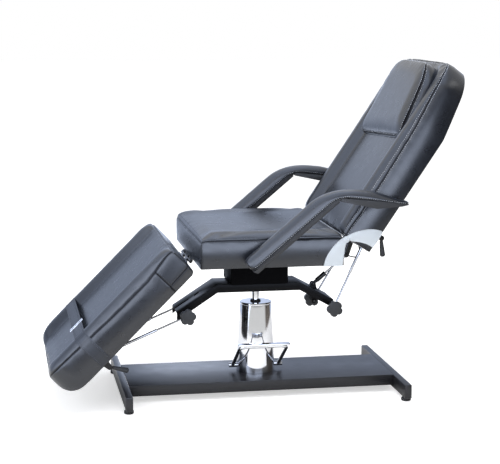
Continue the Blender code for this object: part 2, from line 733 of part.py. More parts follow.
def build_leg_fittings(looks, axis, crest):
    """Strut bracket, strap and buckle of the leg rest."""
    lug_x, lug_z = LEG_STRUT_LUG
    top = LEG_BOTTOM - GAP
    outer = HALF_BED - 0.030
    bracket = box("leg_bracket", (lug_x - 0.020, -outer, top - 0.004),
                  (lug_x + 0.020, LEG_STRUT_Y + 0.02, top))
    tools = []
    inner = LEG_STRUT_Y - 0.0085
    for side, sign in SIDES:
        first, second = side_span(sign, inner, inner + 0.0045)
        tools.append(prism("lug", lug_outline(lug_x, lug_z, top - 0.002), first, second))
    tools.append(prism("lug", lug_outline(lug_x, lug_z, top - 0.002), -outer, -outer + 0.004))
    finish(join_solids(bracket, *tools), looks["steel"], axis)

    first, second = -STRAP_START - STRAP_WIDTH, -STRAP_START
    side = HALF_BED + 0.0006
    over = crest + 0.0006
    shoulder = LEG_SEAM - 0.006
    crown = HALF_BED - 0.056
    low = LEG_BOTTOM + 0.004
    inside = [(side, low), (side, shoulder), (side - 0.008, shoulder + 0.013), (crown + 0.022, over - 0.001),
              (crown, over)]
    thick = STRAP_SHEET
    outside = [(side + thick, low), (side + thick, shoulder), (side - 0.007, shoulder + 0.0148),
               (crown + 0.022, over + thick), (crown, over + thick)]
    ring = inside + [(-y, z) for y, z in reversed(inside)]
    ring += [(-y, z) for y, z in outside] + list(reversed(outside))
    finish(prism("leg_strap", ring, first, second, "X"), looks["strap"], axis)

    wire = BUCKLE_WIRE
    low = over + thick + GAP
    long_half, wide_half = STRAP_WIDTH / 2 + 2 * wire, 0.011
    middle = (first + second) / 2
    place = -0.125
    frame = box("leg_buckle", (middle - long_half, place - wide_half, low),
                (middle + long_half, place + wide_half, low + wire), 0.001)
    window = box("window", (middle - long_half + wire, place - wide_half + wire, low - 0.01),
                 (middle + long_half - wire, place + wide_half - wire, low + 0.01))
    finish(cut(frame, window), looks["chrome"], axis)


def lug_outline(x, z, top):
    """A hanging lug: straight sides down to a round end about (x, z)."""
    return [(x - 0.012, top)] + arc((x, z), 0.009, math.pi, 2 * math.pi, 8) + [(x + 0.012, top)]


def build_back(looks, axis):
    """Backrest, drawn level with its hinge at zero and the head end at +X."""
    crest = BACK_SEAM + BOLSTER_RISE
    panel = BACK_SEAM - PANEL_DROP
    start = HINGE_CREASE + 0.001
    bend = BACK_LENGTH * 0.66
    stations = []
    for distance in end_steps(END_ROUND):
        fall = rounded_end(distance, END_ROUND)
        stations.append((start + distance, HALF_BED, BACK_REAR, BACK_SEAM - 0.7 * fall, crest - fall,
                         panel - 0.6 * fall))
    stations.append((BACK_LENGTH * 0.36, HALF_BED, BACK_REAR, BACK_SEAM, crest, panel))
    stations.append((bend, HALF_BED, BACK_REAR, BACK_SEAM, crest, panel))
    for share in (1.0, 0.72, 0.48, 0.28, 0.12, 0.03, 0.0):
        distance = share * HEAD_ROUND
        x = BACK_LENGTH - distance
        fall = rounded_end(distance, HEAD_ROUND)
        thin = HEAD_THIN * (x - bend) / (BACK_LENGTH - bend)
        top = 0.16 * fall
        stations.append((x, HALF_BED - 0.012 * (1 - share) - fall, BACK_REAR + thin + 0.1 * fall,
                         BACK_SEAM - top, crest - 1.6 * top, panel - top))
    back = cushion("back_cushion", stations)
    drop = BACK_HINGE.z - SEAT_BOTTOM
    half = HALF_BED - BOARD_INSET
    low = (start + BOARD_INSET, -half, BACK_REAR)
    high = (bend, half, BACK_REAR + BOARD)
    pocket = box("pocket", (low[0] - GAP, low[1] - GAP, low[2] - 0.02), [value + GAP for value in high])
    outline = mirrored(panel_outline(PANEL_SPAN, drop, 0.0))
    tools = [pocket]
    for side, sign in SIDES:
        tools += panel_pocket("recess", outline, Vector((0, 0, 0)), sign, 1)
    finish(cut(back, *tools), looks["vinyl"], axis)

    notch = cheek_layer(1)[0] - GAP
    turn = low[0] + PANEL_SPAN
    board = [(low[0], -notch), (turn, -notch), (turn, low[1]), (high[0], low[1]), (high[0], high[1]),
             (turn, high[1]), (turn, notch), (low[0], notch)]
    finish(slab("back_board", board, low[2], high[2]), looks["board"], axis)

    for side, sign in SIDES:
        first, second = side_span(sign, HALF_BED - PANEL_SKIN, HALF_BED)
        finish(prism("back_panel_" + side, outline, first, second), looks["white"], axis)
        plate = hinge_plate("back_hinge_" + side, mirrored(panel_outline(PANEL_SPAN, drop, 0.008)), sign, 1)
        bore = cylinder("bore", (0, sign * (HALF_BED - 0.05), 0), (0, sign * HALF_BED, 0), HINGE_PIN + GAP)
        if side == "near":
            join_solids(plate, prism("lever_lug", lever_lug(), *side_span(sign, *cheek_layer(1))))
        finish(cut(plate, bore), looks["steel"], axis)
    build_back_fittings(looks, axis)


def cheek_layer(layer):
    """Inner and outer distance of a hinge cheek from the bed's middle."""
    outer = HALF_BED - PANEL_SKIN - GAP - layer * (HINGE_SHEET + GAP)
    return outer - HINGE_SHEET, outer


def lever_lug():
    """The ear of the near back hinge cheek that carries the release lever."""
    x, z = back_lever_pivot()
    return [(x - 0.012, z + 0.030)] + arc((x, z), 0.009, math.pi, 2 * math.pi, 8) + [(x + 0.006, z + 0.030)]


def back_lever_pivot():
    """Pivot of the backrest's release lever, behind the back board."""
    return 0.070, BACK_REAR - 0.0095


def build_back_fittings(looks, axis):
    """Bracket for the struts and the locking rod, the pillow and the release cable."""
    top = BACK_REAR - GAP
    inner = BACK_STRUT_Y - 0.0085
    wide = inner + 0.0045
    bracket = box("back_bracket", (0.024, -wide, top - 0.004), (0.105, wide, top))
    tools = []
    for side, sign in SIDES:
        first, second = side_span(sign, inner, wide)
        tools.append(prism("lug", lug_outline(*BACK_STRUT_LUG, top - 0.002), first, second))
        first, second = side_span(sign, LOCK_LUG_OUTER - 0.004, LOCK_LUG_OUTER)
        tools.append(prism("lug", reach_lug(LOCK_LUG, top), first, second))
    finish(join_solids(bracket, *tools), looks["steel"], axis)

    finish(pillow("pillow"), looks["vinyl"], axis)

    head = Vector((LOCK_LUG[0], 0.0, LOCK_LUG[1]))
    lever_x, lever_z = back_lever_pivot()
    strut = Vector((BACK_STRUT_LUG[0], -BACK_STRUT_Y, BACK_REAR - 0.0095))
    nipple = head + Vector((0.002, -LOCK_LUG_OUTER - GAP, 0.0))
    sag = (nipple + Vector((0.0, -0.005, 0.0)), nipple + Vector((0.0, -0.022, 0.0)),
           head + Vector((0.016, -0.066, -0.066)), strut + Vector((-0.042, 0.014, -0.006)))
    end = Vector((lever_x, -cheek_layer(1)[0] + 0.012 + 2 * GAP, lever_z))
    rise = (sag[3], sag[3] + Vector((0.006, -0.012, 0.005)), end + Vector((0.0, 0.10, 0.0)), end)
    path = [nipple]
    path += [bezier(sag, step / 12) for step in range(12)]
    path += [bezier(rise, step / 12) for step in range(13)]
    finish(rod_along("release_cable", path, CABLE_RADIUS, 8), looks["plastic"], axis)


def bezier(points, share):
    """A point of a cubic curve."""
    a, b, c, d = points
    rest = 1 - share
    return a * rest ** 3 + b * 3 * rest * rest * share + c * 3 * rest * share * share + d * share ** 3


def reach_lug(point, top):
    """A lug that reaches from the board down and back to a pivot beyond the board's end."""
    x, z = point
    round_end = arc((x, z), 0.009, math.radians(130), math.radians(290), 8)
    return [(0.026, top - 0.002), (x - 0.006, z + 0.007)] + round_end + [(0.095, top - 0.002)]


def pillow(name):
    """Wedge-shaped head pillow, thin towards the shoulders."""
    low = BACK_SEAM - PANEL_DROP + PANEL_CROWN + GAP
    half = PILLOW_WIDTH / 2
    profile = ((0.0, 0.0), (0.90, 0.0), (0.98, 0.22), (1.0, 0.45), (0.97, 0.70), (0.88, 0.88), (0.6, 0.98),
               (0.0, 1.0))
    bm = bmesh.new()
    rings = []
    for share in (0.0, 0.03, 0.12, 0.4, 0.72, 0.9, 0.97, 1.0):
        edge = min(share, 1 - share)
        swell = math.sqrt(max(0.0, 1 - (1 - min(edge / 0.14, 1.0)) ** 2))
        thick = PILLOW_THICKNESS * (0.42 + 0.58 * min(share / 0.7, 1.0)) * (0.35 + 0.65 * swell)
        wide = half * (0.90 + 0.10 * swell) * (1 - 0.10 * share)
        x = PILLOW_START + share * PILLOW_LENGTH
        loop = []
        for y, z in profile:
            loop.append((y * wide, low + z * thick))
        loop += [(-y, z) for y, z in reversed(loop[1:-1])]
        rings.append([bm.verts.new((x, y, z)) for y, z in loop])
    count = len(rings[0])
    for first, second in zip(rings, rings[1:]):
        for step in range(count):
            after = (step + 1) % count
            bm.faces.new((first[step], first[after], second[after], second[step]))
    bm.faces.new(rings[0])
    bm.faces.new(rings[-1])
    return add_object(name, bm)


def pad_section(inner, outer, low, high):
    """Rounded section of an arm pad, counted round from its inner lower edge."""
    wide = outer - inner
    tall = high - low
    return [(inner + 0.06 * wide, low), (outer - 0.06 * wide, low), (outer, low + 0.3 * tall),
            (outer - 0.03 * wide, low + 0.72 * tall), (outer - 0.16 * wide, low + 0.93 * tall),
            (inner + 0.5 * wide, high), (inner + 0.16 * wide, low + 0.93 * tall),
            (inner + 0.03 * wide, low + 0.72 * tall), (inner, low + 0.3 * tall)]


def arm_pad(name, sign, stations):
    """Loft an arm pad through (x, low, high) stations."""
    bm = bmesh.new()
    rings = []
    for x, low, high in stations:
        loop = pad_section(ARM_INNER, ARM_OUTER, low, high)
        rings.append([bm.verts.new((x, sign * y, z)) for y, z in loop])
    count = len(rings[0])
    for first, second in zip(rings, rings[1:]):
        for step in range(count):
            after = (step + 1) % count
            bm.faces.new((first[step], first[after], second[after], second[step]))
    bm.faces.new(rings[0])
    bm.faces.new(rings[-1])
    return add_object(name, bm)


def elbow(board, x, sign, own, other):
    """Give an arm board its elbow knuckles and clear the room for the other board's ones."""
    room = []
    for first, second in other:
        room.append(cylinder("room", (x, sign * (first - GAP), 0), (x, sign * (second + GAP), 0),
                             ELBOW_RADIUS + 2 * GAP))
    cut(board, *room)
    knuckles = []
    for first, second in own:
        knuckles.append(cylinder("knuckle", (x, sign * first, 0), (x, sign * second, 0), ELBOW_RADIUS))
    return join_solids(board, *knuckles)


def build_arms(looks):
    """Jointed armrests: a lower arm from the seat to the elbow, an upper arm from the elbow to the back."""
    seat_point = Vector((ARM_SEAT_PIVOT.x, 0.0, SEAT_BOTTOM + ARM_SEAT_PIVOT.z))
    reach = Vector((math.cos(ARM_LOWER_ANGLE), 0.0, math.sin(ARM_LOWER_ANGLE))) * ARM_LOWER_LENGTH
    first, second = ARM_INNER + 0.007, ARM_OUTER - 0.007
    third = (second - first) / 3
    sides = ((first, first + third - GAP), (second - third + GAP, second))
    middle = ((first + third, second - third),)
    half = ARM_BOARD / 2
    for side, sign in SIDES:
        lower = pivot("arm_lower_axis_" + side, seat_point, ARM_LOWER_ANGLE)
        end = ARM_LOWER_LENGTH - 0.003
        outline = [(-0.012, -half), (end - 0.004, -half), (end, half - 0.002), (-0.020, half - 0.002)]
        board = prism("arm_lower_board_" + side, outline, *side_span(sign, first, second))
        elbow(board, ARM_LOWER_LENGTH, sign, sides, middle)
        boss = cylinder("boss", (0, sign * (HALF_BED - BOARD_INSET + GAP), 0), (0, sign * (first + 0.004), 0),
                        ARM_BOSS)
        pin = cylinder("pin", (ARM_LOWER_LENGTH, sign * (first + 0.005), 0),
                       (ARM_LOWER_LENGTH, sign * (second - 0.005), 0), ELBOW_PIN, 16)
        finish(join_solids(board, boss, pin), looks["board"], lower)
        low = half - 0.002 + GAP
        high = low + ARM_PAD
        stations = [(-0.026, low + 0.008, high - 0.014), (-0.022, low, high - 0.006), (-0.008, low, high),
                    (0.16, low, high), (end - 0.05, low, high), (end - 0.012, low, high - 0.005)]
        finish(arm_pad("arm_lower_pad_" + side, sign, stations), looks["vinyl"], lower)

        upper = pivot("arm_upper_axis_" + side, seat_point + reach, ARM_UPPER_ANGLE)
        tip = ARM_UPPER_LENGTH + 0.033
        outline = [(0.007, -0.008), (0.55 * tip, -0.021), (0.90 * tip, -0.006), (tip, 0.002),
                   (tip - 0.006, 0.006), (0.002, 0.004)]
        board = prism("arm_upper_board_" + side, outline, *side_span(sign, first, second))
        elbow(board, 0.0, sign, middle, sides)
        boss = cylinder("boss", (ARM_UPPER_LENGTH, sign * (HALF_BED + GAP), 0),
                        (ARM_UPPER_LENGTH, sign * (first + 0.004), 0), ARM_BOSS)
        join_solids(board, boss)
        bore = cylinder("bore", (0, sign * first, 0), (0, sign * second, 0), ELBOW_PIN + GAP, 16)
        finish(cut(board, bore), looks["board"], upper)
        low = 0.006 + GAP
        stations = [(-0.006, low, 0.030), (0.030, low, 0.034), (0.5 * tip, low, 0.034),
                    (0.77 * tip, low, 0.025), (0.95 * tip, low, 0.013), (tip - 0.001, low, 0.009)]
        finish(arm_pad("arm_upper_pad_" + side, sign, stations), looks["vinyl"], upper)


def strut_end(point, turn, hinge):
    """Where a lug's pivot stands when its piece is at its photo angle."""
    x, z = point
    return Vector((hinge.x + x * math.cos(turn) - z * math.sin(turn), 0.0,
                   hinge.z + x * math.sin(turn) + z * math.cos(turn)))


def build_strut(looks, label, side, sign, lug, turn, hinge, y):
    """Telescopic strut: a rod with a hub on its clamp bolt and a tube that slides on the rod."""
    x, z = strut_pivots()["%s_%s" % (label, side)]
    low = Vector((x, 0.0, z))
    run = strut_end(lug, turn, hinge) - low
    length = run.length
    level = (strut_end(lug, 0.0, hinge) - low).length
    rod_length = min(length, level) - 0.021
    tube_length = min(min(length, level) - 0.011, max(length, level) - rod_length + STRUT_OVERLAP)
    axis = pivot("%s_strut_axis_%s" % (label, side), low, math.atan2(run.z, run.x))
    hub = cylinder("%s_rod_%s" % (label, side), (0, sign * (HALF_BEAM + GAP), 0), (0, sign * (y + 0.005), 0),
                   HUB_RADIUS)
    bar = cylinder("bar", (0, sign * y, 0), (rod_length, sign * y, 0), ROD_RADIUS, 14)
    join_solids(hub, bar)
    bore = cylinder("bore", (0, 0, 0), (0, sign * 0.2, 0), BOLT_RADIUS + GAP)
    finish(cut(hub, bore), looks["rod"], axis)

    tube = cylinder("%s_tube_%s" % (label, side), (length - tube_length, sign * y, 0),
                    (length - 0.012, sign * y, 0), TUBE_RADIUS, 16)
    tongue = [(length - 0.022, -0.0048)] + arc((length, 0.0), 0.006, -math.pi / 2, math.pi / 2, 8)
    tongue.append((length - 0.022, 0.0048))
    cap = cylinder("cap", (length, sign * (y + 0.002), 0), (length, sign * (y + 0.007), 0), 0.0050, 12)
    join_solids(tube, prism("tongue", tongue, *side_span(sign, y - 0.003, y + 0.003)), cap)
    hollow = cylinder("hollow", (length - tube_length - 0.01, sign * y, 0), (length - 0.018, sign * y, 0),
                      ROD_RADIUS + GAP, 14)
    finish(cut(tube, hollow), looks["rod"], axis)


def build_struts(looks):
    """The four telescopic struts and the locking rod in its pivoting housing."""
    for side, sign in SIDES:
        build_strut(looks, "back", side, sign, BACK_STRUT_LUG, BACK_ANGLE, BACK_HINGE, BACK_STRUT_Y)
        build_strut(looks, "leg", side, sign, LEG_STRUT_LUG, LEG_ANGLE, LEG_HINGE, LEG_STRUT_Y)

    x, z = lock_pivot()
    low = Vector((x, 0.0, z))
    run = strut_end(LOCK_LUG, BACK_ANGLE, BACK_HINGE) - low
    axis = pivot("lock_axis", low, math.atan2(run.z, run.x))
    length = run.length
    body = cylinder("lock_housing", (-0.012, 0, 0), (0.020, 0, 0), LOCK_NECK)
    barrel = cylinder("barrel", (0.018, 0, 0), (LOCK_BODY, 0, 0), LOCK_RADIUS)
    trunnion = cylinder("trunnion", (0, -LOCK_EAR - 0.003, 0), (0, LOCK_EAR + 0.003, 0), 0.004, 16)
    join_solids(body, barrel, trunnion)
    well = cylinder("well", (-0.03, 0, 0), (LOCK_BODY + 0.02, 0, 0), ROD_RADIUS + GAP, 14)
    finish(cut(body, well), looks["steel"], axis)
    rod = cylinder("lock_rod", (-LOCK_TAIL, 0, 0), (length - 0.006, 0, 0), ROD_RADIUS, 14)
    tongue = [(length - 0.018, -0.0055)] + arc((length, 0.0), 0.008, -math.pi / 2, math.pi / 2, 8)
    tongue.append((length - 0.018, 0.0055))
    finish(join_solids(rod, prism("tongue", tongue, -0.004, 0.004)), looks["rod"], axis)


def star_outline(turn, detail=8):
    """Broad round lobes of a hand knob, the first of them turned from level."""
    points = []
    for step in range(KNOB_LOBES * detail):
        angle = 2 * math.pi * step / (KNOB_LOBES * detail)
        lobe = abs(math.cos(KNOB_LOBES * angle / 2))
        radius = KNOB_RADIUS * (0.77 + 0.23 * lobe ** 0.7)
        points.append((radius * math.cos(angle + turn), radius * math.sin(angle + turn)))
    return points


def build_knobs(looks):
    """Star knobs that clamp the struts, each with its bolt."""
    points = strut_pivots()
    places = (("back", "near", -1.0, BACK_STRUT_Y, 44), ("back", "far", 1.0, BACK_STRUT_Y, 20),
              ("leg", "near", -1.0, LEG_STRUT_Y, 10))
    for label, side, sign, y, turn in places:
        x, z = points["%s_%s" % (label, side)]
        axis = pivot("knob_axis_%s_%s" % (label, side), (x, 0.0, z), 0.0)
        near = y + 0.005 + SWING_GAP
        span = side_span(sign, near + 0.003, near + KNOB_THICKNESS)
        knob = prism("knob_%s_%s" % (label, side), star_outline(math.radians(turn)), *span)
        boss = cylinder("boss", (0, sign * near, 0), (0, sign * (near + 0.007), 0), 0.0112, 24)
        tail = sign * (HALF_BEAM - BEAM_SHEET - 0.006)
        bolt = cylinder("bolt", (0, tail, 0), (0, sign * (near + 0.011), 0), BOLT_RADIUS, 16)
        finish(join_solids(knob, boss, bolt), looks["plastic"], axis)


def build_lever(looks, name, point, angle, y, parent):
    """Release lever: a pivot boss, a short bar and a grip, lying along its empty's local X."""
    axis = pivot(name + "_axis", (point[0], 0.0, point[1]), angle, parent)
    boss = cylinder(name, (0, y, 0), (0, y + 0.012, 0), 0.0075)
    bar = box("bar", (0.0, y + 0.003, -0.004), (0.026, y + 0.009, 0.004))
    end = GRIP_START + GRIP_LENGTH
    grip = cylinder("grip", (GRIP_START, y + 0.006, 0), (end, y + 0.006, 0), GRIP_NECK, 16, GRIP_RADIUS)
    tip = cylinder("tip", (end - 0.002, y + 0.006, 0), (end + 0.003, y + 0.006, 0), GRIP_RADIUS - 0.003, 16)
    finish(join_solids(boss, bar, grip, tip), looks["plastic"], axis)


def recentre():
    """Move the whole bed so that its bounding box stands centred on the origin."""
    bpy.context.view_layer.update()
    low, high = math.inf, -math.inf
    for item in bpy.data.objects:
        if item.type == "MESH":
            for vertex in item.data.vertices:
                x = (item.matrix_world @ vertex.co).x
                low, high = min(low, x), max(high, x)
    for item in bpy.data.objects:
        if item.parent is None:
            item.location.x -= (low + high) / 2
    bpy.context.view_layer.update()


def main():
    """Build every sub-part."""
    clear_scene()
    looks = {
        "steel": make_material("black_enamel", (0.030, 0.030, 0.033), 0.28, 0.0),
        "rubber": make_material("foot_rubber", (0.015, 0.015, 0.016), 0.75, 0.0),
        "chrome": make_material("bright_chrome", (0.82, 0.82, 0.84), 0.08, 1.0),
        "rod": make_material("steel_rod", (0.42, 0.42, 0.44), 0.25, 1.0),
        "plastic": make_material("knob_plastic", (0.030, 0.030, 0.034), 0.45, 0.0),
        "board": make_material("black_board", (0.028, 0.027, 0.027), 0.60, 0.0),
        "vinyl": make_material("slate_vinyl", (0.075, 0.082, 0.105), 0.38, 0.0),
        "white": make_material("white_vinyl", (0.80, 0.83, 0.87), 0.45, 0.0),
        "strap": make_material("strap_webbing", (0.060, 0.068, 0.080), 0.60, 0.0),
    }
    build_base(looks)
    build_pump(looks)
    build_pedal(looks)
    build_beam(looks)
    build_seat(looks)
    leg_axis = pivot("leg_axis", LEG_HINGE, LEG_ANGLE)
    build_leg(looks, leg_axis)
    back_axis = pivot("back_axis", BACK_HINGE, BACK_ANGLE)
    build_back(looks, back_axis)
    build_arms(looks)
    build_struts(looks)
    build_knobs(looks)
    inner, outer = cheek_layer(1)
    build_lever(looks, "back_lever", back_lever_pivot(), math.radians(-140), -inner + GAP, back_axis)
    build_lever(looks, "leg_lever", LEG_STRUT_LUG, math.radians(-59), -HALF_BED + 0.034 + GAP, leg_axis)
    recentre()


main()
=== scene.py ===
"""Looks of the hydraulic massage bed: upholstery, chrome, enamel and the studio it stands in.

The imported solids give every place. Cushions, pads, strap, stitching and pump are shaped anew around them,
and the steelwork and fittings are the solids with rounded edges.
"""
import json
import math

import bpy
import numpy as np
from mathutils import Matrix, Vector, noise


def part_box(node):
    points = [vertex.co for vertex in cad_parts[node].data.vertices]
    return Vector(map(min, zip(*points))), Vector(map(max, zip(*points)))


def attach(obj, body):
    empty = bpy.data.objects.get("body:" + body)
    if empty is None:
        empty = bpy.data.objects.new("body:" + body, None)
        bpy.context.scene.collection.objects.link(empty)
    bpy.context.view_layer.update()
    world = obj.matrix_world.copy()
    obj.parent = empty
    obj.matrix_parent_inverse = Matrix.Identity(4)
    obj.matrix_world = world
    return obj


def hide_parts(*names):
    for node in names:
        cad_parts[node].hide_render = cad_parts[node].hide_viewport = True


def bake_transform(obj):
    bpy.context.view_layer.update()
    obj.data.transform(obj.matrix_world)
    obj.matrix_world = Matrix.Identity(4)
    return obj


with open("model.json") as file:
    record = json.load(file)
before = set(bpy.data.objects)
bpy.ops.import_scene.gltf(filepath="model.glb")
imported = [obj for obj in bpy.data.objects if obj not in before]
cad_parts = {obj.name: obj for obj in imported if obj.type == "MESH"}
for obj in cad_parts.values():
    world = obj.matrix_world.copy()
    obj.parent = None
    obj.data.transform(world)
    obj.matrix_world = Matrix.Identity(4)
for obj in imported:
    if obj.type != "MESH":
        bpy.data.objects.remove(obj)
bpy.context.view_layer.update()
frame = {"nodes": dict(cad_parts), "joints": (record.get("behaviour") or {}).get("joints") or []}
JOINTS = {joint["name"]: joint for joint in frame["joints"]}
SIDES = (("near", -1.0), ("far", 1.0))
SEAT_LOW, SEAT_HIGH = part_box("seat_cushion")
PUMP_X = JOINTS["pedal_press"]["pos_m"][0]

bl_info = {
    "name": "Massage bed dresser",
    "version": (1, 0, 0),
    "blender": (4, 5, 0),
    "location": "3D View > Sidebar > Bed",
    "description": "Dresses the packed massage bed and sets it in a white studio",
    "category": "Object",
}


def linear(code):
    """An sRGB hex colour as linear RGBA."""
    shares = [int(code[at:at + 2], 16) / 255 for at in (1, 3, 5)]
    return [v / 12.92 if v <= 0.04045 else ((v + 0.055) / 1.055) ** 2.4 for v in shares] + [1.0]


def amount(name, text, default, **kind):
    """A number that the sidebar can change."""
    return bpy.props.FloatProperty(name=name, description=text, default=default, **kind)


def length(name, text, default):
    """A size in metres that the sidebar can change."""
    return amount(name, text, default, unit="LENGTH", precision=4)


def angle(name, text, default):
    """An angle in degrees that the sidebar can change."""
    return amount(name, text, math.radians(default), subtype="ANGLE")


def colour(name, text, code):
    """A colour that the sidebar can change."""
    return bpy.props.FloatVectorProperty(name=name, description=text, default=linear(code), size=4,
                                         subtype="COLOR", min=0.0, max=1.0)


class BedSizes(bpy.types.PropertyGroup):
    """Sizes of the upholstery."""

    half_width: length("Half width", "From the bed's middle to its sides", SEAT_HIGH.y)
    seat_height: length("Seat height", "From the seat's base to the foot of its crown", 0.102)
    seat_seam: length("Seat seam", "How far the seat's edge seam lies below that", 0.007)
    seat_rise: length("Seat crown", "How far the seat's crown stands up", 0.014)
    back_rise: length("Back bolster rise", "How far a back bolster stands up", 0.022)
    leg_rise: length("Leg bolster rise", "How far a leg bolster stands up", 0.0145)
    back_start: length("Back start", "From the back hinge to the backrest's lower end", 0.007)
    back_length: length("Back length", "From the back hinge to the head end", 0.700)
    back_rear: length("Back rear", "Rear face of the backrest below its hinge line", -0.097)
    back_seam: length("Back seam", "Edge seam of the backrest above its hinge line", 0.007)
    head_thin: length("Head thinning", "How much the backrest thins towards the head", 0.042)
    head_round: length("Head rounding", "Plan radius of the head end's corners", 0.095)
    leg_start: length("Leg start", "From the knee hinge to the leg rest's upper end", 0.008)
    leg_length: length("Leg length", "From the knee hinge to the foot end", 0.606)
    leg_base: length("Leg base", "Board face of the leg rest above the knee hinge", 0.0095)
    leg_seam: length("Leg seam", "Edge seam of the leg rest above the knee hinge", 0.1185)
    leg_round: length("Foot rounding", "Plan radius of the foot end's corners", 0.075)
    pillow_start: length("Pillow start", "From the back hinge to the pillow's lower edge", 0.372)
    pillow_length: length("Pillow length", "Along the backrest", 0.300)
    pillow_width: length("Pillow width", "Across the backrest", 0.500)
    pillow_thickness: length("Pillow thickness", "At its thickest", 0.066)
    pillow_base: length("Pillow base", "Underside of the pillow above the hinge line", 0.0060)
    pillow_skew: length("Pillow skew", "How much shorter its near edge is sewn", 0.026)
    arm_inner: length("Arm inner face", "From the bed's middle to an armrest", 0.345)
    arm_width: length("Arm width", "Width of an arm pad", 0.070)
    arm_pad: length("Arm pad", "Thickness of an arm pad", 0.044)
    arm_lower_length: length("Lower arm", "From the seat pivot to the elbow", 0.3556)
    arm_upper_length: length("Upper arm", "From the elbow to the pad's tip", 0.2403)
    strap_start: length("Strap start", "From the knee hinge to the strap", 0.408)
    strap_width: length("Strap width", "Width of the leg strap", 0.045)
    skin_pitch: length("Skin pitch", "Spacing of the cushions' mesh", 0.010)
    stitch_pitch: length("Stitch pitch", "From one stitch to the next", 0.0075)
    stitch_length: length("Stitch length", "Length of one stitch", 0.0052)
    stitch_thread: length("Thread", "Thickness of the stitching thread", 0.0011)
    hinge_eye: length("Hinge eye", "Radius of the white lap around the back hinge", 0.0114)
    edge_bevel: length("Edge bevel", "Rounding of a steel sheet's edges", 0.0007)
    back_angle: angle("Back angle", "Backrest above level", 56.0)
    leg_angle: angle("Leg angle", "Leg rest below level", 45.0)
    lower_arm_angle: angle("Lower arm angle", "Lower arm above level", 40.1)
    upper_arm_angle: angle("Upper arm angle", "Upper arm above level", -6.4)


class BedColours(bpy.types.PropertyGroup):
    """Colours of the finishes."""

    hide: colour("Leatherette", "Black PVC upholstery", "#0e1016")
    hide_light: colour("Leatherette bloom", "Paler cloud in the upholstery", "#161a22")
    thread: colour("Thread", "Pale stitching", "#b9bec8")
    thread_dark: colour("Dark thread", "Stitching of the seat, leg rest and strap", "#3c4048")
    white: colour("White vinyl", "Side panels", "#c8d0d8")
    # Painted shade: the fold colour darkens the hide along its seams, where shadow gathers in the folds.
    fold: colour("Fold", "Shadowed fold at a seam", "#050507")
    enamel: colour("Enamel", "Gloss black steel", "#0d0d0f")
    charcoal: colour("Charcoal enamel", "Steel of the base", "#1d1d20")
    chrome: colour("Chrome", "Pump, piston, pedal and buckle", "#dcdde0")
    steel: colour("Bright steel", "Struts", "#b4b5b8")
    plastic: colour("Moulded plastic", "Knobs and cable", "#1b1c1f")
    rubber: colour("Rubber", "Feet and grips", "#131314")
    board: colour("Board", "Black-faced boards", "#171616")
    floor: colour("Floor", "Studio floor", "#f4f4f4")


class BedStage(bpy.types.PropertyGroup):
    """Camera and light."""

    eye: bpy.props.FloatVectorProperty(name="Eye", description="Camera place", subtype="TRANSLATION",
                                       default=(PUMP_X - 0.9254, -5.1249, 1.3811), precision=4)
    pitch: angle("Pitch", "Camera below level", 8.87)
    turn: angle("Turn", "Camera turned towards the head end", -10.02)
    lens: amount("Lens", "Focal length on a 36 mm sensor", 105.888)
    fill: amount("Fill", "Strength of the room's own light", 0.55)
    key: amount("Key", "Power of the overhead softbox", 72.0)
    side: amount("Side", "Power of each side softbox", 38.0)
    wall: colour("Wall", "Grey of the wall that gloss reflects", "#c6d4f0")
    wall_dark: colour("Wall, lower", "Its grey at seat height", "#34363c")
    wall_foot: colour("Wall foot", "Its grey at the floor", "#e6e6e4")
    wall_side: colour("Wall, right", "Its tone on the right, which edges the chrome", "#6e665e")
    ceiling: colour("Ceiling sheet", "Its tone", "#d8e4fc")
    sheen: amount("Ceiling sheen", "How bright it shows in gloss", 2.6)
    window: amount("Window", "How bright the high window shows", 5.0)
    low_window: amount("Low window", "How bright the front one shows", 6.8)
    patch: amount("Patch", "How bright the low patch behind shows", 2.4)
    paler: amount("Upper wall", "How bright the wall's top shows", 1.40)


def sizes():
    """The upholstery's sizes."""
    return bpy.context.scene.bed_sizes


def colours():
    """The finishes' colours."""
    return bpy.context.scene.bed_colours


def add_node(tree, kind, settings=None):
    """Add a node. Its inputs take values or other nodes' outputs, and any other setting is an attribute."""
    made = tree.nodes.new(kind)
    for key, value in (settings or {}).items():
        if isinstance(value, bpy.types.NodeSocket):
            tree.links.new(value, made.inputs[key])
        elif isinstance(key, int) or key in made.inputs:
            made.inputs[key].default_value = value
        else:
            setattr(made, key, value)
    return made


def place_of(tree):
    """Place on the object, in metres."""
    return add_node(tree, "ShaderNodeTexCoord").outputs["Object"]


def cloudy(tree, size, detail=2.0):
    """Outputs of a noise whose features have a size in metres."""
    settings = {"Scale": 1 / size, "Detail": detail, "Vector": place_of(tree)}
    return add_node(tree, "ShaderNodeTexNoise", settings).outputs


def ramp(tree, value, start=0.0, end=1.0, low=0.0, high=1.0):
    """A value's way from start to end, spread from low to high."""
    settings = {"Value": value, "From Min": start, "From Max": end, "To Min": low, "To Max": high}
    return add_node(tree, "ShaderNodeMapRange", settings).outputs[0]


def worked(tree, operation, *terms):
    """The result of a sum on numbers and other nodes' outputs."""
    return add_node(tree, "ShaderNodeMath", {"operation": operation, **dict(enumerate(terms))}).outputs[0]


def mixed(tree, share, first, second):
    """A colour between two."""
    return add_node(tree, "ShaderNodeMix", {"data_type": "RGBA", 0: share, 6: first, 7: second}).outputs[2]


def start_material(name, base, roughness, metallic=0.0, **sockets):
    """A new material with its constant values on the shader's own sockets."""
    material = bpy.data.materials.new(name)
    material.use_nodes = True
    material.diffuse_color = base
    values = {"Base Color": base, "Roughness": roughness, "Metallic": metallic}
    values.update({key.replace("_", " "): value for key, value in sockets.items()})
    for key, value in values.items():
        material.node_tree.nodes["Principled BSDF"].inputs[key].default_value = value
    return material, material.node_tree


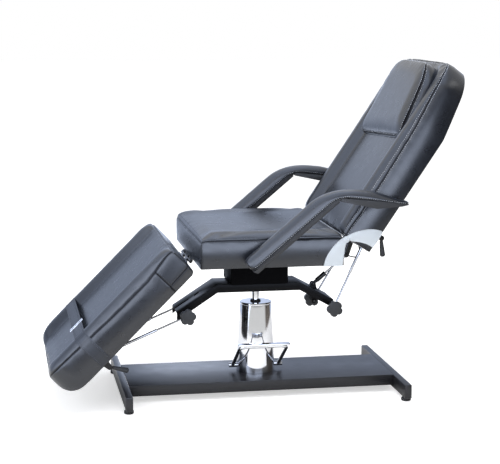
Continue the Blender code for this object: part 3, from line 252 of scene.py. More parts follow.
def drive(tree, socket, source):
    """Let a node's output drive one of the shader's sockets."""
    tree.links.new(source, tree.nodes["Principled BSDF"].inputs[socket])


def gloss(tree, pattern, low, high):
    """Let a pattern vary the roughness between two values."""
    drive(tree, "Roughness", ramp(tree, pattern, low=low, high=high))


def relief(tree, pattern, strength, depth):
    """Let a pattern stand out of the surface by a depth in metres."""
    bump = add_node(tree, "ShaderNodeBump", {"Strength": strength, "Distance": depth, "Height": pattern})
    drive(tree, "Normal", bump.outputs[0])


def leatherette():
    """Embossed PVC on a cloth back: satin, with a pebbled grain, faint clouds of paler bloom and painted
    shade along its seams.
    """
    tones = colours()
    material, tree = start_material("leatherette_embossed_pvc", tones.hide, 0.40, Sheen_Weight=0.05,
                                    Sheen_Roughness=0.35, Sheen_Tint=linear("#b4c4e0"))
    # Clouds about 90 mm across.
    tint = mixed(tree, cloudy(tree, 0.090, 3.0)["Fac"], tones.hide, tones.hide_light)
    # Painted shade along the seams: the hide darkens towards the fold colour there and loses its gloss,
    # standing in for the shadow that the folds gather.
    painted_seam_shade = add_node(tree, "ShaderNodeAttribute", {"attribute_name": "painted_seam_shade"}).outputs["Fac"]
    drive(tree, "Base Color", mixed(tree, painted_seam_shade, tint, tones.fold))
    drive(tree, "Specular IOR Level", ramp(tree, painted_seam_shade, low=0.62, high=0.04))
    # Real grain is about 1 mm; 2.4 mm is the finest that still shows. Noise of 6 mm makes it uneven.
    uneven = {"operation": "MULTIPLY_ADD", 0: cloudy(tree, 0.006)["Color"], 1: [0.0016] * 3,
              2: place_of(tree)}
    bent = add_node(tree, "ShaderNodeVectorMath", uneven).outputs[0]
    grain = add_node(tree, "ShaderNodeTexVoronoi", {"feature": "SMOOTH_F1", "Scale": 1 / 0.0024,
                                                    "Smoothness": 0.4, "Vector": bent})
    relief(tree, grain.outputs["Distance"], 0.04, 0.0006)
    # Stretch marks about 30 mm apart soften the gloss.
    gloss(tree, cloudy(tree, 0.030, 4.0)["Fac"], 0.23, 0.35)
    return material


def folded_strap():
    """The same PVC folded into a band: satin, with the pleats that its padding leaves across it."""
    material, tree = start_material("folded_pvc_strap", colours().hide_light, 0.42)
    # A wave repeats every 0.314 / scale metres: pleats 13 mm apart.
    pleat = add_node(tree, "ShaderNodeTexWave", {"bands_direction": "Y", "Scale": 0.314 / 0.013,
                                                 "Distortion": 1.5, "Vector": place_of(tree)})
    relief(tree, pleat.outputs["Fac"], 0.5, 0.0012)
    return material


def white_vinyl():
    """Smooth white PVC skin, wiped clean: even, with a fine grain and a slight haze."""
    material, tree = start_material("white_vinyl_skin", colours().white, 0.38)
    grain = add_node(tree, "ShaderNodeTexVoronoi", {"Scale": 1 / 0.0022, "Vector": place_of(tree)})
    relief(tree, grain.outputs["Distance"], 0.10, 0.0004)
    gloss(tree, cloudy(tree, 0.040)["Fac"], 0.32, 0.46)
    return material


def stitching_thread(name, tone):
    """Twisted polyester: dull, with its twist as fine ridges."""
    material, tree = start_material(name, tone, 0.62)
    # Ridges about 3 mm apart.
    twist = add_node(tree, "ShaderNodeTexWave", {"bands_direction": "DIAGONAL", "Scale": 1 / 0.010,
                                                 "Vector": place_of(tree)})
    relief(tree, twist.outputs["Fac"], 0.25, 0.0003)
    return material


def stoved_enamel(name, base, level, low, high):
    """Stoved black enamel on sheet steel: glossy or satin, with a slight orange peel."""
    material, tree = start_material(name, base, (low + high) / 2, Specular_IOR_Level=level)
    relief(tree, cloudy(tree, 0.005)["Fac"], 0.06, 0.0004)
    gloss(tree, cloudy(tree, 0.060, 5.0)["Fac"], low, high)
    return material


def bright_chrome():
    """Polished chrome plate: a mirror with the faintest wipe marks."""
    material, tree = start_material("polished_chrome_plate", colours().chrome, 0.06, 1.0)
    gloss(tree, cloudy(tree, 0.020, 4.0)["Fac"], 0.035, 0.10)
    return material


def drawn_steel():
    """Bright drawn rod, zinc plated: silvery, with fine drawing marks."""
    material, tree = start_material("drawn_zinc_plated_steel", colours().steel, 0.22, 1.0)
    gloss(tree, cloudy(tree, 0.004, 3.0)["Fac"], 0.14, 0.32)
    return material


def moulded(name, base, low, high):
    """Moulded black plastic or rubber: a spark-eroded mould leaves an even, dull grain."""
    material, tree = start_material(name, base, (low + high) / 2)
    # Mould grain of about 0.5 mm, drawn at 1.2 mm so that it shows.
    grain = cloudy(tree, 0.0012)["Fac"]
    relief(tree, grain, 0.18, 0.0003)
    gloss(tree, grain, low, high)
    return material


def faced_board():
    """Plywood faced and edged in black paint: dull, with the veneer's grain just telling through."""
    material, tree = start_material("black_faced_plywood", colours().board, 0.55)
    # Grain about 8 mm wide and 170 mm long.
    along = add_node(tree, "ShaderNodeMapping", {"Scale": (6.0, 120.0, 120.0), "Vector": place_of(tree)})
    veneer = add_node(tree, "ShaderNodeTexNoise", {"Scale": 1.0, "Detail": 4.0, "Vector": along.outputs[0]})
    relief(tree, veneer.outputs["Fac"], 0.15, 0.0005)
    gloss(tree, veneer.outputs["Fac"], 0.46, 0.66)
    return material


FINISHES = {}


def finish_of(slot):
    """The material that a slot of the record is dressed in, made once."""
    tones = colours()
    makers = {
        "black_enamel": (stoved_enamel, "stoved_black_enamel", tones.enamel, 0.3, 0.15, 0.29),
        # The beam's satin and the riser's matt enamel are the gloss black with its gloss taken down: partly a
        # duller paint, partly painted shade, so that both read as dark as they stand under the seat.
        "black_enamel satin": (stoved_enamel, "satin_black_enamel", tones.enamel, 0.08, 0.30, 0.44),
        "black_enamel matt": (stoved_enamel, "matt_black_enamel", tones.enamel, 0.01, 0.45, 0.55),
        "black_enamel base": (stoved_enamel, "charcoal_enamel", tones.charcoal, 0.4, 0.27, 0.40),
        "foot_rubber": (moulded, "moulded_rubber", tones.rubber, 0.62, 0.82),
        "knob_plastic": (moulded, "moulded_abs", tones.plastic, 0.38, 0.56),
        "thread": (stitching_thread, "pale_polyester_thread", tones.thread),
        "thread dark": (stitching_thread, "dark_polyester_thread", tones.thread_dark),
        "bright_chrome": (bright_chrome,),
        "steel_rod": (drawn_steel,),
        "black_board": (faced_board,),
        "slate_vinyl": (leatherette,),
        "white_vinyl": (white_vinyl,),
        "strap_webbing": (folded_strap,),
    }
    if slot not in FINISHES:
        maker, *values = makers[slot]
        FINISHES[slot] = maker(*values)
    return FINISHES[slot]


def activate(piece):
    """Select one object alone and make it active."""
    bpy.ops.object.select_all(action="DESELECT")
    piece.select_set(True)
    bpy.context.view_layer.objects.active = piece


def put_on(piece, body, slot, *nodes):
    """Hang a finished piece on its body and hide the solids that it stands for."""
    piece.data.materials.clear()
    piece.data.materials.append(finish_of(slot))
    if body:
        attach(piece, body)
    if nodes:
        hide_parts(*nodes)
    return piece


def apply_all(piece):
    """Apply every modifier of a piece."""
    activate(piece)
    for name in [modifier.name for modifier in piece.modifiers]:
        bpy.ops.object.modifier_apply(modifier=name)


def smooth(piece, degrees=38):
    """Shade a piece smooth, with its sharp edges kept."""
    activate(piece)
    bpy.ops.object.shade_smooth_by_angle(angle=math.radians(degrees))


def bevelled(piece, width, segments, degrees):
    """Round the edges that are sharper than an angle."""
    rounding = piece.modifiers.new("Rounding", "BEVEL")
    rounding.width = width
    rounding.segments = segments
    rounding.limit_method = "ANGLE"
    rounding.angle_limit = math.radians(degrees)
    apply_all(piece)


def new_piece(name, mesh):
    """Put a mesh into the scene as the active object."""
    piece = bpy.data.objects.new(name, mesh)
    bpy.context.scene.collection.objects.link(piece)
    activate(piece)
    return piece


def outward(piece):
    """Turn a piece's faces outwards."""
    activate(piece)
    bpy.ops.object.mode_set(mode="EDIT")
    bpy.ops.mesh.select_all(action="SELECT")
    bpy.ops.mesh.normals_make_consistent(inside=False)
    bpy.ops.object.mode_set(mode="OBJECT")


def mesh_piece(name, points, faces):
    """A new object from points and faces, its faces turned outwards."""
    mesh = bpy.data.meshes.new(name)
    mesh.from_pydata([tuple(point) for point in points], [], faces)
    piece = new_piece(name, mesh)
    outward(piece)
    return piece


def just_added(name):
    """The object that was added last, named, with its place and scale in its mesh."""
    piece = bpy.context.active_object
    piece.name = name
    bpy.ops.object.transform_apply(location=True, rotation=True, scale=True)
    return piece


def joined(first, second):
    """Join a second piece into the first."""
    activate(first)
    second.select_set(True)
    bpy.ops.object.join()


def settle(piece, place):
    """Move a piece's mesh to its place on the bed."""
    piece.data.transform(place)
    piece.data.update()


WELD = 0.00002      # points of a solid that are nearer than this are one
FLAT = 0.6          # faces that lean less than this, in degrees, are one
SHARP = 42          # edges that turn more than this, in degrees, are rounded


def refined(node, body, slot, bevel=None, segments=2, degrees=38):
    """A smooth-edged copy of a solid, which stands for it."""
    mesh = frame["nodes"][node].data.copy()
    piece = new_piece("shaped_" + node, mesh)
    if mesh.has_custom_normals:
        bpy.ops.mesh.customdata_custom_splitnormals_clear()
    bpy.ops.object.mode_set(mode="EDIT")
    bpy.ops.mesh.select_all(action="SELECT")
    bpy.ops.mesh.remove_doubles(threshold=WELD)
    bpy.ops.mesh.dissolve_limited(angle_limit=math.radians(FLAT))
    bpy.ops.object.mode_set(mode="OBJECT")
    width = sizes().edge_bevel if bevel is None else bevel
    if width > 0:
        bevelled(piece, width, segments, SHARP)
    smooth(piece, degrees)
    return put_on(piece, body, slot, node)


def local_frame(origin, turn):
    """Matrix of a piece whose own X runs at an angle above level."""
    return Matrix.Translation(origin) @ Matrix.Rotation(-turn, 4, "Y")


def hinge_frame(joint, turn):
    """Matrix of a piece that starts at a joint and runs at an angle above level."""
    return local_frame(Vector(JOINTS[joint]["pos_m"]), turn)


def crowned(distance, width):
    """Quarter-round rise from 0 at an edge to 1 at a width from it."""
    share = np.clip(distance / width, 0.0, 1.0)
    return np.sqrt(np.maximum(0.0, 1.0 - (1.0 - share) ** 2))


def eased(share):
    """Smooth step from 0 to 1."""
    share = np.clip(share, 0.0, 1.0)
    return share * share * (3 - 2 * share)


def cuts(span, pitch, edges=(0.0, 0.0022, 0.0055, 0.0105, 0.0175), extra=()):
    """Cuts across a span: close together at both ends and about a pitch apart between."""
    room = span - 2 * edges[-1]
    count = max(2, round(room / pitch))
    middle = [edges[-1] + room * step / count for step in range(1, count)]
    middle = [at for at in middle if all(abs(at - other) > 0.3 * pitch for other in extra)]
    return np.array(sorted(list(edges) + middle + list(extra) + [span - edge for edge in edges]))


class Skin:
    """The skin of a block cut along three ways, with the number of each point."""

    def __init__(self, along, across, up):
        self.cuts = (along, across, up)
        self.last = tuple(len(way) - 1 for way in self.cuts)
        self.number = {}
        rows = []
        for i in range(len(along)):
            for j in range(len(across)):
                shell = i in (0, self.last[0]) or j in (0, self.last[1])
                for k in range(len(up)) if shell else (0, self.last[2]):
                    self.number[i, j, k] = len(rows)
                    rows.append((i, j, k))
        self.index = np.array(rows)
        self.under, self.upper = self.on(2, 0), self.on(2, 1)
        self.sides = self.on(1, 0) | self.on(1, 1)
        self.ends = self.on(0, 0) | self.on(0, 1)
        self.seam = self.upper & (self.sides | self.ends)

    def quads(self):
        """Faces of the six sides."""
        a, b, c = self.last
        find = self.number
        faces = []
        for k in (0, c):
            faces += [(find[i, j, k], find[i + 1, j, k], find[i + 1, j + 1, k], find[i, j + 1, k])
                      for i in range(a) for j in range(b)]
        for j in (0, b):
            faces += [(find[i, j, k], find[i + 1, j, k], find[i + 1, j, k + 1], find[i, j, k + 1])
                      for i in range(a) for k in range(c)]
        for i in (0, a):
            faces += [(find[i, j, k], find[i, j + 1, k], find[i, j + 1, k + 1], find[i, j, k + 1])
                      for j in range(b) for k in range(c)]
        return faces

    def at(self, way):
        """Each point's cut along one of the three ways."""
        return self.cuts[way][self.index[:, way]]

    def on(self, way, end):
        """Which points lie on one side of the block."""
        return self.index[:, way] == (0 if end == 0 else self.last[way])

    def nearest(self, way, place):
        """Number of the cut nearest to a place along one of the three ways."""
        return int(np.argmin(np.abs(self.cuts[way] - place)))

    def row(self, i=None, j=None, k=None):
        """Point numbers of one line of the skin, the open way running from end to end."""
        given = (i, j, k)
        way = given.index(None)
        wanted = [value if value is None or value >= 0 else last + 1 + value
                  for value, last in zip(given, self.last)]
        line = []
        for step in range(self.last[way] + 1):
            wanted[way] = step
            line.append(self.number[tuple(wanted)])
        return line


EDGE_ROUND = 0.045      # how wide the top rounds over at its edges
CROWN_INSET = 0.12      # how far the middle's crown keeps from the sides
CHANNEL_HALF = 0.006    # half width of the channel beside a bolster
WAIST = 0.002           # how far the sides draw in halfway along
BOARD_LIP = 0.0126      # width of the hem that laps the board
BOARD_HOLLOW = 0.004    # how far the underside is hollow inside the hem
GROOVE = 0.0045         # how deep an edge seam sinks
CORNER = 0.0035         # how far an upright corner draws in
SEWN = 0.0025           # how deep a seam across a side sinks


def cushion_points(skin, form):
    """Place a cushion's skin in its own frame, X along, Y across, Z up, and tell which points are sewn."""
    s, t, h = skin.at(0), skin.at(1), skin.at(2)
    total = form["length"]
    half = form["half"](s)
    tuck, fall = form["tuck"]
    pull = tuck * (1 - np.clip(h / fall, 0, 1)) ** 2 + form["shoulder"] * np.clip(h, 0, 1) ** form["lean"]
    waist = WAIST * np.sin(np.pi * s / total) * np.sin(np.pi * np.clip(h, 0, 1))
    y = t * (half - pull - waist)
    low, seam = form["low"](s), form["seam"](s)
    z = low + h * (seam - low)
    edge = half - np.abs(y)
    crest = form["rise"] + form["height"] - seam
    top = np.maximum(crest, 0.003) * crowned(edge - form["shoulder"], EDGE_ROUND)
    top += (form["valley"] - form["rise"]) * eased((edge - form["crest"]) / form["slope"])
    top += form["crown"] * (1 - np.clip(np.abs(y) / (half - CROWN_INSET), 0, 1) ** 2)
    if "channel" in form:
        top -= form["channel"] * np.exp(-((edge - form["crest"] - form["slope"] * 0.92) / CHANNEL_HALF) ** 2)
    top *= crowned(s, form["round"][0]) * crowned(total - s, form["round"][1])
    if "fade" in form:
        top *= 1 - form["fade"][1] * (1 - eased((total - s) / form["fade"][0]))
    upper, sides, ends = skin.upper, skin.sides, skin.ends
    z = np.where(upper, z + top, z)
    swell = (1 - t ** 6) * np.sin(np.pi * np.clip(h, 0, 1)) ** 0.8
    x = np.where(skin.on(0, 0), s - form["bulge"][0] * swell, s)
    x = np.where(skin.on(0, 1), x + form["bulge"][1] * swell, x)
    inside = skin.under & (edge > BOARD_LIP) & (s > BOARD_LIP) & (total - s > BOARD_LIP)
    z = np.where(inside, z + BOARD_HOLLOW, z)
    # The edge seams sink between the two skins that they join.
    y = np.where(upper & sides, y - np.sign(y) * GROOVE, y)
    z = np.where(upper & ends, z - GROOVE * 0.4, z)
    x = np.where(upper & skin.on(0, 0), x + GROOVE, x)
    x = np.where(upper & skin.on(0, 1), x - GROOVE, x)
    corner = sides & ends & ~upper
    y = np.where(corner, y - np.sign(y) * CORNER, y)
    x = np.where(corner, np.clip(x, CORNER, total - CORNER), x)
    sewn = np.zeros_like(s, dtype=bool)
    for at in form.get("cross_seams", ()):
        sewn |= np.isclose(s, at)
    for at, reach in form.get("long_seams", ()):
        sewn |= np.isclose(h, at) & (s < reach)
    sewn &= sides & ~upper
    y = np.where(sewn, y - np.sign(y) * SEWN, y)
    return np.stack([x, y, z], axis=1), sewn | corner | skin.seam


def spots(piece):
    """Places of a piece's points."""
    return np.array([vertex.co for vertex in piece.data.vertices])


def gaps(points, seams):
    """How far each point lies from the nearest seam point."""
    line = points[seams]
    return np.array([np.sqrt(((line - point) ** 2).sum(axis=1).min()) for point in points])


def creased(piece, seams, reach=0.0050):
    """Mark how near each point lies to a seam, for the painted shade that the hide lays along its seams."""
    layer = piece.data.attributes.new("painted_seam_shade", "FLOAT", "POINT")
    near = gaps(spots(piece), seams)
    # Full up to 0.15 of the reach and gone at 1.15 of it.
    layer.data.foreach_set("value", np.clip(1.15 - near / reach, 0.0, 1.0).astype(np.float32))


def puckered(points, seams, depth, reach, wave, seed):
    """Small gathers that run out from the seams and die away."""
    moved = points.copy()
    for number, gap in enumerate(gaps(points, seams)):
        if gap < 3 * reach:
            place = Vector(points[number]) / wave + Vector((seed, 0.0, 0.0))
            moved[number, 2] += depth * math.exp(-gap / reach) * min(1.0, gap / 0.006) * noise.noise(place)
    return moved


CLOTH_STEPS = 20


def swollen(piece, held, cap):
    """Blow a skin up as cloth under pressure, its seams held, no point going further than its cap."""
    before = spots(piece)
    group = piece.vertex_groups.new(name="held")
    group.add(np.flatnonzero(held).tolist(), 1.0, "REPLACE")
    cloth = piece.modifiers.new("Swelling", "CLOTH")
    settings = {"quality": 4, "mass": 0.25, "tension_stiffness": 22.0, "compression_stiffness": 22.0,
                "shear_stiffness": 12.0, "bending_stiffness": 3.0, "use_pressure": True,
                "uniform_pressure_force": 1.4, "vertex_group_mass": "held"}
    for name, value in settings.items():
        setattr(cloth.settings, name, value)
    cloth.settings.effector_weights.gravity = 0.0
    cloth.collision_settings.use_collision = False
    scene = bpy.context.scene
    for step in range(1, CLOTH_STEPS + 1):
        scene.frame_set(step)
    apply_all(piece)
    scene.frame_set(1)
    step = spots(piece) - before
    far = np.linalg.norm(step, axis=1, keepdims=True)
    step *= np.minimum(1.0, np.reshape(cap, (-1, 1)) / np.maximum(far, 1e-9))
    piece.data.vertices.foreach_set("co", (before + step).astype(np.float32).ravel())
    piece.vertex_groups.clear()
    piece.data.update()


def rounded_off(piece, levels=1):
    """Subdivide a soft skin and shade it smooth."""
    finer = piece.modifiers.new("Finer", "SUBSURF")
    finer.levels = finer.render_levels = levels
    apply_all(piece)
    activate(piece)
    bpy.ops.object.shade_smooth()


def surface_line(piece, numbers):
    """Points and outward normals of a line of a skin, after its finer skin is made."""
    vertices = piece.data.vertices
    return [(vertices[n].co.copy(), vertices[n].normal.copy()) for n in numbers]


def evenly(line, pitch):
    """Points, ways and normals at an even pitch along a line."""
    marks = []
    spare = pitch / 2
    for (start, lean), (end, lean_end) in zip(line, line[1:]):
        run = end - start
        far = run.length
        while spare < far:
            share = spare / far
            marks.append((start + run * share, run.normalized(), lean.lerp(lean_end, share).normalized()))
            spare += pitch
        spare -= far
    return marks


def stitches(name, lines, body, thread="thread"):
    """Rows of stitches, each a small spindle of thread lying on the skin."""
    plan = sizes()
    points, faces = [], []
    ring = [(math.cos(2 * math.pi * n / 5), math.sin(2 * math.pi * n / 5)) for n in range(5)]
    half, thick = plan.stitch_length / 2, plan.stitch_thread / 2
    for line in lines:
        for place, way, lean in evenly(line, plan.stitch_pitch):
            side = way.cross(lean).normalized()
            lean = side.cross(way)
            base = len(points)
            centre = place + lean * 0.0002
            points.append(centre - way * half - lean * thick)
            for along in (-0.55, 0.55):
                for across, up in ring:
                    points.append(centre + way * (along * half) + side * (across * thick)
                                  + lean * (up * thick))
            points.append(centre + way * half - lean * thick)
            for n in range(5):
                m = (n + 1) % 5
                faces.append((base, base + 1 + m, base + 1 + n))
                faces.append((base + 1 + n, base + 1 + m, base + 6 + m, base + 6 + n))
                faces.append((base + 11, base + 6 + n, base + 6 + m))
    piece = mesh_piece(name, points, faces)
    bpy.ops.object.shade_smooth()
    return put_on(piece, body, thread)


def edge_lines(piece, skin, offset, *edges):
    """Stitch lines so many cuts from the edge seams.

    An edge is named by the face that is stitched, top or low, by side or end, and by which of the two it is.
    """
    lines = []
    for face, kind, which in edges:
        inset, level = (offset, -1) if face == "top" else (0, -1 - offset)
        at = inset if which == 0 else -1 - inset
        row = skin.row(j=at, k=level) if kind == "side" else skin.row(i=at, k=level)
        lines.append(surface_line(piece, row[1:-1]))
    return lines


def upholstered(name, form, body, node, place, seed, extra=(), extra_up=()):
    """Make a boxed cushion: skin, swelling, finer skin and its place on the bed."""
    plan = sizes()
    half = plan.half_width
    along = cuts(form["length"], plan.skin_pitch, extra=extra)
    across = (cuts(2 * half, plan.skin_pitch * 1.15) - half) / half
    up = cuts(1.0, 0.095, edges=(0.0, 0.025, 0.06, 0.11, 0.18), extra=extra_up)
    skin = Skin(along, across, up)
    points, sewn = cushion_points(skin, form)
    points = puckered(points, skin.seam, 0.0034, 0.022, 0.020, seed)
    piece = mesh_piece(name, points, skin.quads())
    creased(piece, sewn)
    # The top may rise; the sides stay almost as cut, inside the white panels.
    swollen(piece, skin.seam | skin.under | (skin.sides & skin.ends), np.where(skin.upper, 0.004, 0.0012))
    for vertex in piece.data.vertices:
        vertex.co.y = max(-half, min(half, vertex.co.y))
    rounded_off(piece)
    settle(piece, place)
    put_on(piece, body, "slate_vinyl", node)
    return piece, skin


def end_fall(distance, radius):
    """How far a rounded corner has drawn in at a distance from the end."""
    inside = np.clip(radius - distance, 0.0, radius)
    return radius - np.sqrt(np.maximum(0.0, radius * radius - inside * inside))


TIP_CUTS = (0.06, 0.12, 0.2, 0.3, 0.42, 0.55)       # extra cuts at a rounded end, as shares of its radius
LOW_SIDES = (("low", "side", 0), ("low", "side", 1))
STRAP_THICK = 0.0022
STRAP_GAP = 0.0007      # how far the strap lies off the skin


BLACK, WHITE = (0.0, 0.0, 0.0, 1.0), (1.0, 1.0, 1.0, 1.0)


class BED_OT_stage(bpy.types.Operator):
    """Build the studio: camera, floor, soft light and the cards that gloss reflects"""

    bl_idname = "bed.stage"
    bl_label = "Stage"

    def execute(self, context):
        scene = context.scene
        setting = scene.bed_stage
        scene.view_settings.view_transform = "Standard"
        camera = bpy.data.objects.new("camera", bpy.data.cameras.new("camera"))
        scene.collection.objects.link(camera)
        camera.location = setting.eye
        camera.rotation_euler = (math.pi / 2 - setting.pitch, 0.0, setting.turn)
        camera.data.sensor_width = 36.0
        camera.data.lens = setting.lens
        camera.data.clip_end = 200.0
        scene.camera = camera
        self.build_floor()
        self.build_lamps(scene, setting)
        self.build_cards(setting)
        self.build_room(scene, setting)
        return {"FINISHED"}

    def build_floor(self):
        """A pale floor that takes the shadow and is white to the camera elsewhere."""
        bpy.ops.mesh.primitive_plane_add(size=60.0, location=(0.0, 0.0, -0.0005))
        floor = just_added("studio_floor")
        material, tree = start_material("painted_studio_floor", colours().floor, 0.9)
        rays = add_node(tree, "ShaderNodeLightPath").outputs
        faint = worked(tree, "MULTIPLY", rays["Is Glossy Ray"], 0.12)
        glow = worked(tree, "MULTIPLY_ADD", rays["Is Camera Ray"], 0.55, faint)
        light = add_node(tree, "ShaderNodeEmission", {"Color": WHITE, "Strength": glow})
        paint = tree.nodes["Principled BSDF"]
        both = add_node(tree, "ShaderNodeAddShader", {0: paint.outputs[0], 1: light.outputs[0]})
        tree.links.new(both.outputs[0], tree.nodes["Material Output"].inputs["Surface"])
        floor.data.materials.append(material)

    def build_lamps(self, scene, setting):
        """Softboxes, of which only the two at the sides show in gloss."""
        lamps = (("overhead", (-0.2, -0.9, 2.9), (0.0, 0.0, 0.5), 1.9, setting.key),
                 ("left_box", (-2.5, -3.2, 2.0), (0.0, 0.0, 0.6), 1.5, setting.side),
                 ("right_box", (3.4, -2.4, 2.2), (0.1, 0.0, 0.6), 2.2, setting.side * 0.7),
                 ("back_box", (0.6, 3.6, 2.4), (0.0, 0.0, 0.6), 2.4, setting.side * 0.6))
        for name, place, target, size, power in lamps:
            data = bpy.data.lights.new(name, "AREA")
            data.size = size
            data.energy = power
            lamp = bpy.data.objects.new(name, data)
            lamp.location = place
            lamp.rotation_euler = (Vector(target) - Vector(place)).to_track_quat("-Z", "Y").to_euler()
            scene.collection.objects.link(lamp)
            lamp.visible_camera = False
            lamp.visible_glossy = name in ("left_box", "right_box")

    def build_cards(self, setting):
        """A wall all round and a bright ceiling sheet, which only show in what is glossy."""
        bpy.ops.mesh.primitive_cylinder_add(vertices=64, radius=1.7, depth=1.5, end_fill_type="NOTHING",
                                            location=(0.0, 0.0, 0.75))
        wall = just_added("studio_wall")
        wall.data.materials.append(self.wall_paint(setting))
        bpy.ops.mesh.primitive_plane_add(size=5.0, location=(-1.2, -0.3, 3.1))
        sheet = just_added("ceiling_sheet")
        material, _ = start_material("lit_ceiling_sheet", BLACK, 1.0,
                                     Emission_Color=setting.ceiling, Emission_Strength=setting.sheen)
        sheet.data.materials.append(material)
        for card in (wall, sheet):
            card.visible_camera = card.visible_diffuse = False
            card.visible_shadow = card.visible_transmission = False

    def wall_paint(self, setting):
        """The wall's tones: dark in front, paler at its foot and behind, with lit windows and patches."""
        material, tree = start_material("grey_studio_wall", BLACK, 1.0, Emission_Strength=1.0)
        x, y, z = add_node(tree, "ShaderNodeSeparateXYZ", {0: place_of(tree)}).outputs
        tone = mixed(tree, ramp(tree, z, 0.20, 0.32), setting.wall_foot, setting.wall_dark)
        tone = mixed(tree, ramp(tree, y, -0.7, 0.5), tone, setting.wall)
        tone = mixed(tree, ramp(tree, x, 1.42, 1.60), tone, setting.wall_side)
        # A high window on the front left lights the bolsters, and a lower one in front the arms and sides.
        # A lit patch low behind shows in the base, and the wall grows paler upwards behind the pillow.
        slant = worked(tree, "MULTIPLY_ADD", x, -0.7, z)
        patches = ((setting.window, (slant, 1.0, 1.25), (x, 0.55, -0.10), (y, 0.5, -0.7)),
                   (setting.low_window, (z, 0.34, 0.52), (z, 1.25, 0.90), (x, -0.45, -0.20),
                    (x, 0.95, 0.75), (y, -0.3, -0.7)),
                   (setting.patch, (z, 0.78, 0.52), (x, 0.45, 0.05), (x, -0.38, -0.20), (y, -0.7, 0.5)),
                   (setting.paler, (z, 0.85, 1.20), (y, -0.2, 0.5)))
        for gain, first, *others in patches:
            share = ramp(tree, *first)
            for span in others:
                share = worked(tree, "MULTIPLY", share, ramp(tree, *span))
            tone = mixed(tree, share, tone, [gain * value for value in setting.ceiling[:3]] + [1.0])
        drive(tree, "Emission Color", tone)
        return material

    def build_room(self, scene, setting):
        """The room: white to the camera and to mirrors, a softer fill for everything else."""
        scene.world = bpy.data.worlds.new("studio")
        scene.world.use_nodes = True
        tree = scene.world.node_tree
        rays = add_node(tree, "ShaderNodeLightPath").outputs
        mirror = worked(tree, "MAXIMUM", rays["Is Glossy Ray"], rays["Is Transmission Ray"])
        seen = worked(tree, "MAXIMUM", rays["Is Camera Ray"], mirror)
        ground = tree.nodes["Background"].inputs
        ground["Color"].default_value = WHITE
        tree.links.new(ramp(tree, seen, low=setting.fill), ground["Strength"])


class BED_OT_seat(bpy.types.Operator):
    """Upholster the seat: a boxed cushion with sewn edges"""

    bl_idname = "bed.seat"
    bl_label = "Seat cushion"

    def execute(self, context):
        plan = sizes()
        total = SEAT_HIGH.x - SEAT_LOW.x
        form = {
            "length": total,
            "half": lambda s: np.full_like(s, plan.half_width),
            "low": lambda s: np.zeros_like(s),
            "seam": lambda s: (plan.seat_height - plan.seat_seam - 0.3 * end_fall(s, 0.028)
                               - 0.3 * end_fall(total - s, 0.028)),
            "height": plan.seat_height, "shoulder": 0.009, "lean": 2.5, "tuck": (0.010, 0.90),
            "rise": plan.seat_rise, "valley": 0.009, "crest": 0.060, "slope": 0.070, "crown": 0.002,
            "round": (0.050, 0.030), "bulge": (0.005, 0.004),
        }
        place = Matrix.Translation((SEAT_LOW.x, 0.0, SEAT_LOW.z))
        piece, skin = upholstered("seat_upholstery", form, "seat", "seat_cushion", place, 3.0)
        lines = edge_lines(piece, skin, 2, ("top", "end", 0)) + edge_lines(piece, skin, 1, ("low", "end", 0))
        stitches("seat_stitching", lines, "seat", "thread dark")
        return {"FINISHED"}


class BED_OT_backrest(bpy.types.Operator):
    """Upholster the backrest: side bolsters, a sunk middle panel and a thin rounded head"""

    bl_idname = "bed.backrest"
    bl_label = "Backrest cushion"

    def execute(self, context):
        plan = sizes()
        total = plan.back_length - plan.back_start
        bend = 0.66 * plan.back_length - plan.back_start

        def low(s):
            thin = plan.head_thin * np.clip((s - bend) / (total - bend), 0, 1)
            return plan.back_rear + thin + 0.1 * end_fall(total - s, plan.head_round)

        def half(s):
            taper = 0.012 * eased((s - bend) / (total - bend))
            return plan.half_width - taper - end_fall(total - s, plan.head_round)

        def seam(s):
            dip = 0.005 * np.sin(np.pi * np.clip(s / 0.36, 0, 1))
            climb = 0.020 * eased((s - 0.36) / (total - 0.38)) - dip
            return (plan.back_seam + climb - 0.3 * end_fall(s, 0.028)
                    - 0.16 * end_fall(total - s, plan.head_round))

        form = {
            "length": total, "half": half, "low": low, "seam": seam, "height": plan.back_seam,
            "shoulder": 0.013, "lean": 5.0, "tuck": (0.010, 0.80),
            "rise": plan.back_rise, "valley": -0.006, "crest": 0.064, "slope": 0.054, "crown": 0.003,
            "round": (0.030, 0.060), "fade": (0.17, 0.75), "bulge": (0.004, 0.010),
            "channel": 0.0025,
        }
        place = hinge_frame("back_recline", plan.back_angle) @ Matrix.Translation((plan.back_start, 0.0, 0.0))
        tip = [total - plan.head_round * share for share in TIP_CUTS]
        piece, skin = upholstered("back_upholstery", form, "back", "back_cushion", place, 7.0, tip)
        lines = edge_lines(piece, skin, 2, ("top", "side", 0), ("top", "side", 1), ("top", "end", 1))
        lines += edge_lines(piece, skin, 1, *LOW_SIDES)
        stitches("back_stitching", lines, "back")
        return {"FINISHED"}


